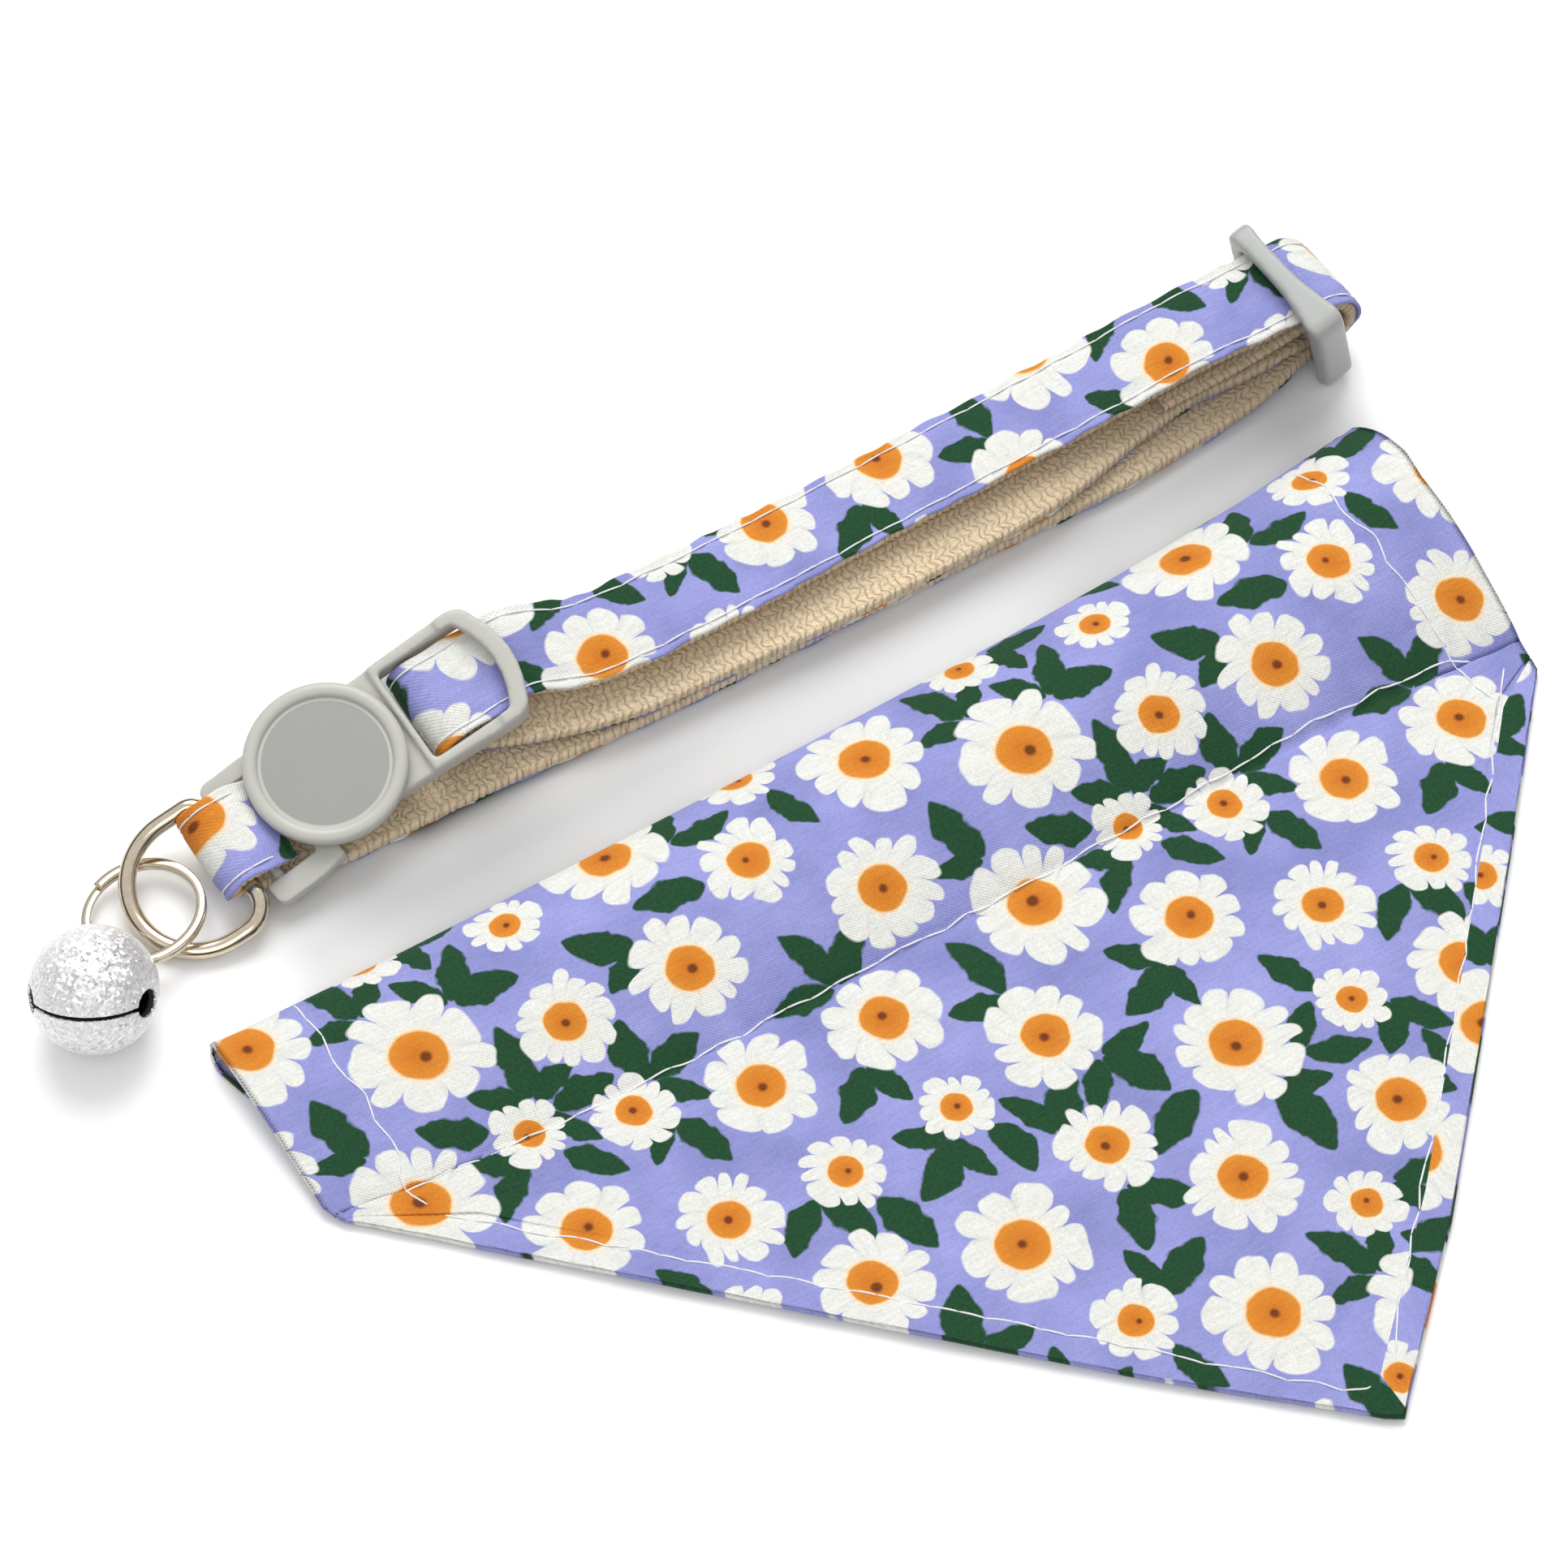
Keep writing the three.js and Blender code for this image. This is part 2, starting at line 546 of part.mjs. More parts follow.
piece('d_ring', wire(dRingPoints(), D_RING.wire, D_RING.sides, upwards, true), MATERIAL.nickel, dRing);

const splitRing = new THREE.Group();
splitRing.position.set(...SPLIT_RING.place);
splitRing.rotation.set(...SPLIT_RING.turn.map(radians), 'ZYX');
assembly.add(splitRing);
splitRing.updateMatrixWorld(true);

// Flat wire wound almost twice, its two ends overlapping.
function splitRingSolid() {
  const { radius, wide, thick, pitch, turns } = SPLIT_RING;
  const steps = Math.round(turns * FACETS.ringTurn);
  return loft(Array.from({ length: steps + 1 }, (_, i) => {
    const angle = (i / steps) * turns * 2 * Math.PI + radians(SPLIT_RING.start);
    const rise = pitch * ((i / steps) * turns - turns / 2);
    return [[-1, -1], [1, -1], [1, 1], [-1, 1]].map(([u, v]) => new THREE.Vector3(
      (radius + (u * wide) / 2) * Math.cos(angle),
      (radius + (u * wide) / 2) * Math.sin(angle),
      rise + (v * thick) / 2,
    ));
  }));
}

piece('split_ring', splitRingSolid(), MATERIAL.nickel, splitRing);

// The bell hangs on the ring by its eye and lies on the table. Its own Z runs from the eye
// to the slit.
const onRing = splitRing.localToWorld(new THREE.Vector3(
  SPLIT_RING.radius * Math.cos(radians(BELL.ringAngle)),
  SPLIT_RING.radius * Math.sin(radians(BELL.ringAngle)),
  0,
));
const bellCentre = new THREE.Vector3(BELL.place[0], BELL.place[1], BELL.radius);
const bellAxis = bellCentre.clone().sub(onRing).normalize();
const bellTurn = new THREE.Vector3(...BELL.slitAlong);
bellTurn.addScaledVector(bellAxis, -bellTurn.dot(bellAxis)).normalize();
const bell = new THREE.Group();
bell.position.copy(bellCentre);
bell.quaternion.setFromRotationMatrix(
  new THREE.Matrix4().makeBasis(bellTurn, new THREE.Vector3().crossVectors(bellAxis, bellTurn), bellAxis),
);
assembly.add(bell);

function bellSolid() {
  const { radius, wall, slit, slitFrom, hole, eye, eyeWire, eyeOval } = BELL;
  const reach = bellCentre.distanceTo(onRing);
  const end = new THREE.CylinderGeometry(hole, hole, 2 * BEYOND, FACETS.bar);
  const shell = cut(
    ball(radius), ball(radius - wall),
    box(-BEYOND, BEYOND, -slit / 2, slit / 2, slitFrom, BEYOND),
    end.rotateZ(Math.PI / 2).translate(0, 0, slitFrom),
  );
  const turn = radians(BELL.eyeTurn);
  const middle = eye + eyeWire;
  const ring = Array.from({ length: FACETS.eye }, (_, i) => {
    const angle = (i / FACETS.eye) * 2 * Math.PI;
    const side = middle * Math.cos(angle);
    return new THREE.Vector3(
      side * Math.cos(turn), side * Math.sin(turn), -reach + middle * eyeOval * Math.sin(angle),
    );
  });
  const normal = new THREE.Vector3(-Math.sin(turn), Math.cos(turn), 0);
  const loop = cut(wire(ring, eyeWire, FACETS.eyeWire, normal, true), ball(radius - wall / 2));
  return join(shell, loop);
}

function ball(radius) {
  return new THREE.SphereGeometry(radius, FACETS.ball, FACETS.ballHigh).rotateX(Math.PI / 2);
}

piece('bell', bellSolid(), MATERIAL.silver, bell);

const pelletHeight = BELL.wall + CLEAR + PELLET_RADIUS;
const pellet = ball(PELLET_RADIUS).translate(bellCentre.x, bellCentre.y, pelletHeight);
piece('bell_pellet', pellet, MATERIAL.silver);

// ---------------------------------------------------------------- bandana

// How far the channel's top stands over its closed height, at s from fold to seam.
function puff(row, s) {
  const power = Math.log(0.5) / Math.log(row.peak);
  return (row.crown - SEAM) * Math.sin(Math.PI * s ** power) ** CHANNEL.fullness;
}

// One section of the bandana in the YZ plane, from the hem along the table to the fold and
// back over the top.
function bandanaOutside(row) {
  const points = [];
  const put = (y, z) => points.push(new THREE.Vector3(row.x, y, z));
  const drop = row.seam - row.hem;
  const inner = 1 - Math.min(HEM.width, drop / 2) / drop;
  const under = (k) => lerp(CHANNEL.panelLift, row.lift, k ** CHANNEL.sag);
  const panel = [1, inner, 0.75 * inner, 0.5 * inner, 0.25 * inner];
  panel.forEach((k) => put(lerp(row.seam, row.hem, k), under(k)));
  for (let i = STEPS_ACROSS; i >= 0; i--) {
    const s = i / STEPS_ACROSS;
    put(lerp(row.fold - CHANNEL.underFold, row.seam, s), s === 1 ? CHANNEL.seamLift : 0);
  }
  put(row.fold, CHANNEL.foldLow);
  put(row.fold, CHANNEL.foldHigh);
  for (let i = 0; i <= STEPS_ACROSS; i++) {
    const s = i / STEPS_ACROSS;
    put(lerp(row.fold - CHANNEL.overFold, row.seam, s), SEAM + puff(row, s));
  }
  [...panel].reverse().forEach((k) => {
    const hem = k >= inner ? HEM.step : 0;
    put(lerp(row.seam, row.hem, k), under(k) + CLOTH + hem);
  });
  return points;
}

// The hollow of the channel, one wall in from the outside.
function bandanaInside(row, x) {
  const lower = [];
  const upper = [];
  for (let i = 0; i <= STEPS_ACROSS; i++) {
    const s = lerp(CHANNEL.from, CHANNEL.to, i / STEPS_ACROSS);
    const y = lerp(row.fold - CHANNEL.underFold, row.seam, s);
    lower.push(new THREE.Vector3(x, y, SEAM / 2));
    upper.push(new THREE.Vector3(x, y, SEAM / 2 + CHANNEL.least + puff(row, s)));
  }
  return [...lower.reverse(), ...upper];
}

function bandanaSolid() {
  const first = BANDANA[0];
  const last = BANDANA[BANDANA.length - 1];
  const outside = loft(BANDANA.map(bandanaOutside));
  const inside = loft([
    bandanaInside(first, first.x - 1),
    ...BANDANA.map((row) => bandanaInside(row, row.x)),
    bandanaInside(last, last.x + 1),
  ]);
  return cut(outside, inside);
}

piece('bandana', bandanaSolid(), MATERIAL.print);

// ---------------------------------------------------------------- origin under the middle

const footprint = new THREE.Box3().setFromObject(assembly, true);
assembly.position.set(
  -(footprint.min.x + footprint.max.x) / 2, -(footprint.min.y + footprint.max.y) / 2, -footprint.min.z,
);

const collar = new THREE.Group();
collar.add(assembly);
export default collar;
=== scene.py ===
"""Looks of the pet bandana collar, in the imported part's frame.

Lengths in the tables are millimetres in the part's own layout: X along the bandana's channel
from its left mouth, Y towards the collar, Z up. place() turns them into the frame's metres.
"""
import math

import bpy
import numpy as np
from mathutils import Matrix, Vector, noise
from mathutils.bvhtree import BVHTree


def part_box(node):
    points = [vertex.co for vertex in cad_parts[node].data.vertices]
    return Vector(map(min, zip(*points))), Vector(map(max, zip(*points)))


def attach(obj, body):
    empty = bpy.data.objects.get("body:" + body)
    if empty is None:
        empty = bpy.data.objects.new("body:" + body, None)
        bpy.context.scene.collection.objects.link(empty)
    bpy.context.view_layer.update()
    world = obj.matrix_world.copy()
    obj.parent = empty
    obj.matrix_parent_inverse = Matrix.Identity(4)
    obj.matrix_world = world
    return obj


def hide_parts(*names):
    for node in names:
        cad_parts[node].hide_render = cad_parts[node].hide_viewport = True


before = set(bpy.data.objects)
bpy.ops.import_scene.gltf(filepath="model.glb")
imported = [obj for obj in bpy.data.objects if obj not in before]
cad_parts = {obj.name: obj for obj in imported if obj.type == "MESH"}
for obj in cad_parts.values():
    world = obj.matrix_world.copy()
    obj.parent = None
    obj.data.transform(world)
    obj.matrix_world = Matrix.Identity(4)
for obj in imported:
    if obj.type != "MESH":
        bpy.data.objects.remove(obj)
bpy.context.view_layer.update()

BANDANA_TIP_Y = -105.5
SHIFT = np.array(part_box("bandana")[0]) * 1000 - (0, BANDANA_TIP_Y, 0)


def place(points):
    """Part millimetres to frame metres."""
    return (np.asarray(points, float) + SHIFT) / 1000


# ---- making nodes


def linear(red, green, blue):
    """An sRGB colour, 0 to 255, as linear RGBA."""
    values = [c / 255 for c in (red, green, blue)]
    return [c / 12.92 if c <= 0.04045 else ((c + 0.055) / 1.055) ** 2.4 for c in values] + [1]


def arithmetic(operation, swapped=False):
    """A method that adds this math node."""

    def make(self, other):
        return self.shader.math(operation, *((other, self) if swapped else (self, other)))

    return make


class Value:
    """A node's output. Arithmetic with it adds math nodes."""

    def __init__(self, shader, socket):
        self.shader, self.socket = shader, socket

    __add__ = __radd__ = arithmetic("ADD")
    __mul__ = __rmul__ = arithmetic("MULTIPLY")
    __sub__ = arithmetic("SUBTRACT")
    __rsub__ = arithmetic("SUBTRACT", swapped=True)
    __pow__ = arithmetic("POWER")

    def __abs__(self):
        return self.shader.math("ABSOLUTE", self)


class Shader:
    """Short names for making nodes in one material, world or group."""

    def __init__(self, tree, material=None):
        self.tree, self.material = tree, material

    def put(self, socket, value):
        if isinstance(value, Value):
            self.tree.links.new(value.socket, socket)
        elif value is not None:
            socket.default_value = value

    def node(self, kind, inputs, output=0, **settings):
        """A node with its settings and inputs: gives one output, or all for None."""
        made = self.tree.nodes.new("ShaderNode" + kind)
        for key, value in settings.items():
            setattr(made, key, value)
        for key, value in inputs.items():
            self.put(made.inputs[key], value)
        if output is None:
            return [Value(self, socket) for socket in made.outputs]
        return Value(self, made.outputs[output])

    def surface(self, inputs):
        for key, value in inputs.items():
            self.put(self.tree.nodes["Principled BSDF"].inputs[key], value)
        return self.material

    def math(self, operation, a, b=None, c=None, clamp=False):
        return self.node("Math", {0: a, 1: b, 2: c}, operation=operation, use_clamp=clamp)

    def line(self, value, gain, start):
        """value * gain + start, kept from 0 to 1."""
        return self.math("MULTIPLY_ADD", value, gain, start, clamp=True)

    def edge(self, inside, softness):
        """1 where inside is above 0, 0 below, with a soft edge."""
        return self.line(inside, 1 / softness, 0.5)

    def mix(self, factor, a, b, blend="MIX"):
        inputs = {0: factor, 6: a, 7: b}  # the node's colour sockets
        return self.node("Mix", inputs, 2, data_type="RGBA", blend_type=blend)

    def split(self, vector):
        return self.node("SeparateXYZ", {0: vector}, None)

    def vector(self, x, y, z=0.0):
        return self.node("CombineXYZ", {0: x, 1: y, 2: z})

    def attribute(self, name):
        return self.node("Attribute", {}, "Vector", attribute_name=name)

    def noise(self, vector, scale, detail=2.0, roughness=0.5):
        inputs = {"Vector": vector, "Scale": scale, "Detail": detail, "Roughness": roughness}
        return self.node("TexNoise", inputs)

    def object_mm(self):
        """Object coordinates in millimetres."""
        at = self.node("TexCoord", {}, "Object")
        return self.node("VectorMath", {0: at, "Scale": 1000}, operation="SCALE")

    def part_xy(self):
        """X and Y in the part's own layout."""
        x, y, _ = self.split(self.object_mm())
        return x - SHIFT[0], y - SHIFT[1]

    def ramp(self, value, stops, interpolation="LINEAR"):
        """Greys at the stops (position, light), each from 0 to 1, and between them."""
        made = self.tree.nodes.new("ShaderNodeValToRGB")
        made.color_ramp.interpolation = interpolation
        for _ in stops[len(made.color_ramp.elements):]:
            made.color_ramp.elements.new(0.5)
        for element, (position, light) in zip(made.color_ramp.elements, stops):
            element.position = position
            element.color = (light, light, light, 1)
        self.put(made.inputs[0], value)
        return Value(self, made.outputs[0])

    def table(self, value, rows):
        """A smooth curve through rows of (value, result), results from 0 to 1."""
        start, span = rows[0][0], rows[-1][0] - rows[0][0]
        stops = [((at - start) / span, result) for at, result in rows]
        return self.ramp((value - start) * (1 / span), stops, "EASE")

    def bump(self, height, millimetres, normal=None):
        inputs = {"Distance": millimetres / 1000, "Height": height, "Normal": normal}
        return self.node("Bump", inputs)


def new_material(name):
    material = bpy.data.materials.new(name)
    material.use_nodes = True
    return Shader(material.node_tree, material)


def group(name, **outputs):
    """A node group from a motif's own place: its tree, tools, place and outputs to fill."""
    tree = bpy.data.node_groups.new(name, "ShaderNodeTree")
    tree.interface.new_socket("Place", in_out="INPUT", socket_type="NodeSocketVector")
    for label, kind in outputs.items():
        tree.interface.new_socket(label, in_out="OUTPUT", socket_type="NodeSocket" + kind)
    s = Shader(tree)
    at = Value(s, tree.nodes.new("NodeGroupInput").outputs[0])
    return tree, s, s.split(at), tree.nodes.new("NodeGroupOutput").inputs


# ---- camera and light

TARGET = Vector((-0.0018, 0.0336, 0.0001))
CAMERA_BACK = Vector((-0.2848, -0.4469, 0.8480))  # from the target towards the camera
CAMERA_RIGHT = Vector((0.8433, -0.5375, 0.0))
CAMERA_DISTANCE, LENS, SENSOR = 0.6, 122.981366, 36
# azimuth and elevation in degrees, distance and size in metres, power in watts
SOFTBOXES = {"key": (152, 56, 1.0, 0.8, 7.6), "fill": (-40, 50, 1.2, 0.9, 2.6)}
SKY = [(0, 0.40), (0.05, 0.05), (0.33, 0.10), (0.56, 0.85), (0.72, 1)]  # height, light
SKY_STRENGTH = 0.86


def camera_and_light():
    scene = bpy.context.scene
    scene.view_settings.view_transform = "Standard"
    scene.view_settings.look = "None"
    camera = bpy.data.objects.new("camera", bpy.data.cameras.new("camera"))
    camera.data.sensor_width, camera.data.lens = SENSOR, LENS
    camera.data.clip_start = 0.01
    axes = Matrix((CAMERA_RIGHT, CAMERA_BACK.cross(CAMERA_RIGHT), CAMERA_BACK)).transposed()
    camera.matrix_world = Matrix.LocRotScale(TARGET + CAMERA_DISTANCE * CAMERA_BACK, axes, None)
    scene.collection.objects.link(camera)
    scene.camera = camera

    for name, (azimuth, elevation, distance, size, power) in SOFTBOXES.items():
        a, e = math.radians(azimuth), math.radians(elevation)
        way = Vector((math.sin(a) * math.cos(e), -math.cos(a) * math.cos(e), math.sin(e)))
        light = bpy.data.lights.new(name, "AREA")
        light.shape, light.size, light.energy = "DISK", size, power
        lamp = bpy.data.objects.new(name, light)
        lamp.location = TARGET + way * distance
        lamp.rotation_euler = way.to_track_quat("Z", "Y").to_euler()
        scene.collection.objects.link(lamp)

    scene.world = bpy.data.worlds.new("world")
    scene.world.use_nodes = True
    s = Shader(scene.world.node_tree)
    s.tree.nodes.clear()
    height = s.split(s.node("TexCoord", {}, "Generated"))[2]
    sky = s.node("Background", {0: s.ramp(height, SKY), 1: SKY_STRENGTH})
    s.node("OutputWorld", {0: sky}, None)


# ---- floor

FLOOR_HALF, FLOOR_Z = 2.5, -0.00002  # metres
# the paper's albedo along the gap between the strap and the bandana, lowered there as painted
# shade: x, albedo
GAP_PAINTED_SHADE = [
    (4, 0.95), (16, 0.62), (32, 0.48), (56, 0.55), (72, 0.60), (100, 0.62), (120, 0.50),
    (144, 0.47), (160, 0.95),
]
GAP_ACROSS = [(-14, 0), (-3, 1), (4, 1), (9, 0.7), (18, 0.7), (23, 0)]  # y, its strength
# where the paper lies deep under the buckle: x and y, the shade's strength
UNDER_ALONG = [(28, 0), (34, 1), (52, 1), (60, 0)]
UNDER_ACROSS = [(9, 0), (13, 1), (31, 1), (34, 0)]
SHADE_REACH, SHADE_POWER, SHADE_DEPTH = 0.016, 3, 0.92


def floor():
    """White paper, with painted shade between the two things that lie on it and under the buckle.
    """
    mesh = bpy.data.meshes.new("floor")
    signs = ((-1, -1), (1, -1), (1, 1), (-1, 1))
    corners = [(x * FLOOR_HALF, y * FLOOR_HALF, FLOOR_Z) for x, y in signs]
    mesh.from_pydata(corners, [], [(0, 1, 2, 3)])
    ground = bpy.data.objects.new("floor", mesh)
    bpy.context.scene.collection.objects.link(ground)
    s = new_material("floor")
    x, y = s.part_xy()
    paper = GAP_PAINTED_SHADE[0][1]
    darker = s.table(x, GAP_PAINTED_SHADE) - paper
    # painted shade: the paper greyer in the gap between the strap and the bandana
    paper_with_painted_shade = s.math("MULTIPLY_ADD", darker, s.table(y, GAP_ACROSS), paper)
    # painted shade under the buckle: ambient occlusion darkens the paper's colour there
    open_sky = s.node("AmbientOcclusion", {"Distance": SHADE_REACH}, "AO", samples=8)
    deep = (open_sky ** SHADE_POWER - 1) * SHADE_DEPTH
    under = s.table(x, UNDER_ALONG) * s.table(y, UNDER_ACROSS)
    paper_with_painted_shade = paper_with_painted_shade * s.math("MULTIPLY_ADD", deep, under, 1)
    paper_with_painted_shade = s.vector(paper_with_painted_shade, paper_with_painted_shade, paper_with_painted_shade)
    s.surface({"Base Color": paper_with_painted_shade, "Roughness": 0.9, "Specular IOR Level": 0.1})
    mesh.materials.append(s.material)


# ---- the print's layout

REPEAT = np.array([76.0, 80.0])  # the print's repeat, along and across
DAISY_REACH = [8.2] * 2 + [7.8] * 4 + [7.1] * 9 + [6.1] * 4 + [5.1] * 3 + [4.6] * 5
DAISY_GAP = 1.6
DAISIES_ACROSS = 5  # columns of the grid that the daisies start from
DAISY_PUSHES, DAISY_PUSH = 300, 0.25
# sprigs tried, headings tried from each daisy, a leaf's length, degrees between the leaves, how
# far their root is tucked in and stands off again, the least room for a sprig and its side leaves
LEAF = dict(
    sprigs=34, headings=10, length=8.6, fan=66, tuck=0.9, root=0.4, room=-1.9, side_room=-1.8,
)
# a leaf's room is felt at these shares of its half length, less its half width there
LEAF_FEELERS, LEAF_HALF_WIDTHS = (-0.2, 0.3, 0.85), (2.0, 1.9, 0.6)
LEAF_BODY, LEAF_APART = (-0.5, 0.1, 0.7), 3.9
PETALS_TO = 0.9  # of a daisy's reach, where leaves need room
FAR = 9.0
PRINT_SEED = 7


def wrapped(away):
    """Differences on the repeating cloth, brought to the nearest copy."""
    return (away + REPEAT / 2) % REPEAT - REPEAT / 2


def lengths(away):
    return np.hypot(away[..., 0], away[..., 1])


def daisy_rows(rng):
    """Daisies of mixed sizes pushed apart over the repeat: centre, reach and turn of each."""
    reach = rng.permutation(DAISY_REACH)
    count = len(reach)
    row, column = np.divmod(np.arange(count), DAISIES_ACROSS)
    at = np.stack([
        (column + 0.5) / DAISIES_ACROSS, (row + 0.5) * DAISIES_ACROSS / count,
    ], axis=1)
    at = at * REPEAT + rng.uniform(-3, 3, at.shape)
    want = reach[:, None] + reach[None, :] + DAISY_GAP
    for _ in range(DAISY_PUSHES):
        away = wrapped(at[:, None] - at[None, :])
        apart = lengths(away) + np.eye(count) * 1e3  # none pushes itself
        push = np.maximum(want - apart, 0) / apart
        at = at + DAISY_PUSH * (away * push[..., None]).sum(axis=1)
    return np.column_stack([at % REPEAT, reach, rng.uniform(0, 360, count)])


def leaf_rows(daisies, rng):
    """Leaves in ones to threes that come out from under the daisies into the free cloth."""
    rows = []

    def way(degrees, length):
        return length * np.array([math.cos(math.radians(degrees)), math.sin(math.radians(degrees))])

    def leaf(daisy, heading, turn, half):
        at = daisy[:2] + way(heading, daisy[2] - LEAF["tuck"]) + way(turn, half + LEAF["root"])
        return np.array([*at, half, turn])

    def spine(row, shares):
        return row[None, :2] + np.outer(shares, way(row[3], row[2]))

    def room(row, owner, others):
        points = spine(row, LEAF_FEELERS)
        free = lengths(wrapped(points[:, None] - daisies[None, :, :2]))
        free = free - daisies[None, :, 2] * PETALS_TO - np.array(LEAF_HALF_WIDTHS)[:, None]
        free[:, owner] = FAR
        least = free.min()
        for other in others:
            gaps = lengths(wrapped(points[:, None] - spine(other, LEAF_BODY)[None]))
            least = min(least, gaps.min() - LEAF_APART)
        return least

    for _ in range(LEAF["sprigs"]):
        options = []
        for owner, daisy in enumerate(daisies):
            for heading in rng.uniform(0, 360, LEAF["headings"]):
                half = LEAF["length"] / 2 * rng.uniform(0.85, 1.15)
                row = leaf(daisy, heading, heading + rng.uniform(-30, 30), half)
                options.append((room(row, owner, rows), owner, heading, row))
        free, owner, heading, row = max(options, key=lambda option: option[0])
        if free < LEAF["room"]:
            break
        rows.append(row)
        for side in (-1, 1):
            half = LEAF["length"] / 2 * rng.uniform(0.68, 0.95)
            beside = leaf(daisies[owner], heading, row[3] + side * LEAF["fan"], half)
            others = [other for other in rows if other is not row]
            if room(beside, owner, others) > LEAF["side_room"]:
                rows.append(beside)
    return np.array(rows)


PRINT_RNG = np.random.default_rng(PRINT_SEED)
DAISY_ROWS = daisy_rows(PRINT_RNG)
LEAF_ROWS = leaf_rows(DAISY_ROWS, PRINT_RNG)
# for each kind of motif: its rows, how many may meet at a place, and how slim it is
MOTIFS = {"daisy": (DAISY_ROWS, 2, 1.0), "leaf": (LEAF_ROWS, 3, 1.9)}
FACES_AT_ONCE = 20000


def nearest_motifs(corners, rows, slots, slim):
    """For each face's corners (faces, corners, 2): its nearest motifs' own coordinates.

    Returns (slots, faces, corners, 3): x and y in the motif's turned frame, 1 at its reach,
    and a number from 0 to 1 that tells the motifs apart.
    """
    result = np.full((slots,) + corners.shape[:2] + (3,), FAR)
    seeds = np.modf(np.arange(len(rows)) * 0.618034 + 0.11)[0]
    turn, reach = np.radians(rows[:, 3]), rows[:, 2]
    cos, sin = np.cos(turn), np.sin(turn)

    def own(away, c, s, r):
        return (away[..., 0] * c + away[..., 1] * s) / r, (away[..., 1] * c - away[..., 0] * s) / r

    for start in range(0, len(corners), FACES_AT_ONCE):
        part = corners[start:start + FACES_AT_ONCE]
        middle = part.mean(axis=1)
        away = wrapped(middle[:, None, :] - rows[None, :, :2])
        x, y = own(away, cos, sin, reach)
        score = (np.hypot(x, y * slim) - 1) * reach
        chosen = np.sort(np.argpartition(score, slots, axis=1)[:, :slots], axis=1)
        span = part - middle[:, None, :]
        for k in range(slots):
            pick = chosen[:, k]
            at = np.take_along_axis(away, pick[:, None, None], axis=1) + span
            block = result[k, start:start + FACES_AT_ONCE]
            block[..., 0], block[..., 1] = own(at, *(v[pick][:, None] for v in (cos, sin, reach)))
            block[..., 2] = seeds[pick][:, None]
    return result


def corner_layer(mesh, name, values):
    layer = mesh.attributes.new(name, "FLOAT_VECTOR", "CORNER")
    layer.data.foreach_set("vector", values.astype(np.float32).ravel())


def cloth_layer(mesh, corners):
    corner_layer(mesh, "cloth", np.pad(corners, ((0, 0), (0, 0), (0, 1))))


def print_on(mesh, corners):
    """Writes the print's attributes from the cloth places of each face's corners."""
    for name, (rows, slots, slim) in MOTIFS.items():
        for k, local in enumerate(nearest_motifs(corners, rows, slots, slim)):
            corner_layer(mesh, f"{name}{k}", local)
    cloth_layer(mesh, corners)


# ---- materials

PETAL, PETAL_SHADE = linear(222, 222, 217), linear(188, 188, 187)
PETAL_GLOW, EYE_DOT = linear(236, 214, 176), linear(112, 54, 18)
EYE_RIM, EYE = linear(212, 134, 44), linear(200, 116, 34)
EYE_REACH, DOT_REACH, GLOW_WIDTH = 0.378, 0.075, 0.085  # against the daisy's reach
FEWEST_PETALS, MORE_PETALS = 9.0, 4.0
LILAC_DARK, LILAC = linear(124, 128, 184), linear(156, 158, 216)
LILAC_WASHED = linear(170, 169, 205)
GREEN_DARK, GREEN = linear(12, 50, 27), linear(35, 82, 50)
COTTON_PITCH = 0.42  # of the printed cotton's threads
RIB, PICK = 0.9, 0.95  # the webbing's rows across and along it
BEIGE, BEIGE_PATCH, BEIGE_GAP = linear(232, 212, 178), linear(222, 198, 160), linear(180, 152, 116)
# fibres, nubs, and the webbing's colour under the painted shade near the slider
FIBRE, NUB, BEIGE_IN_PAINTED_SHADE = linear(242, 228, 204), linear(172, 142, 106), linear(150, 132, 108)
SLIDER_PAINTED_SHADE = [(0, 0.0), (90, 0.05), (122, 0.5), (150, 1.0)]  # x, how far painted shade darkens the webbing towards the slider


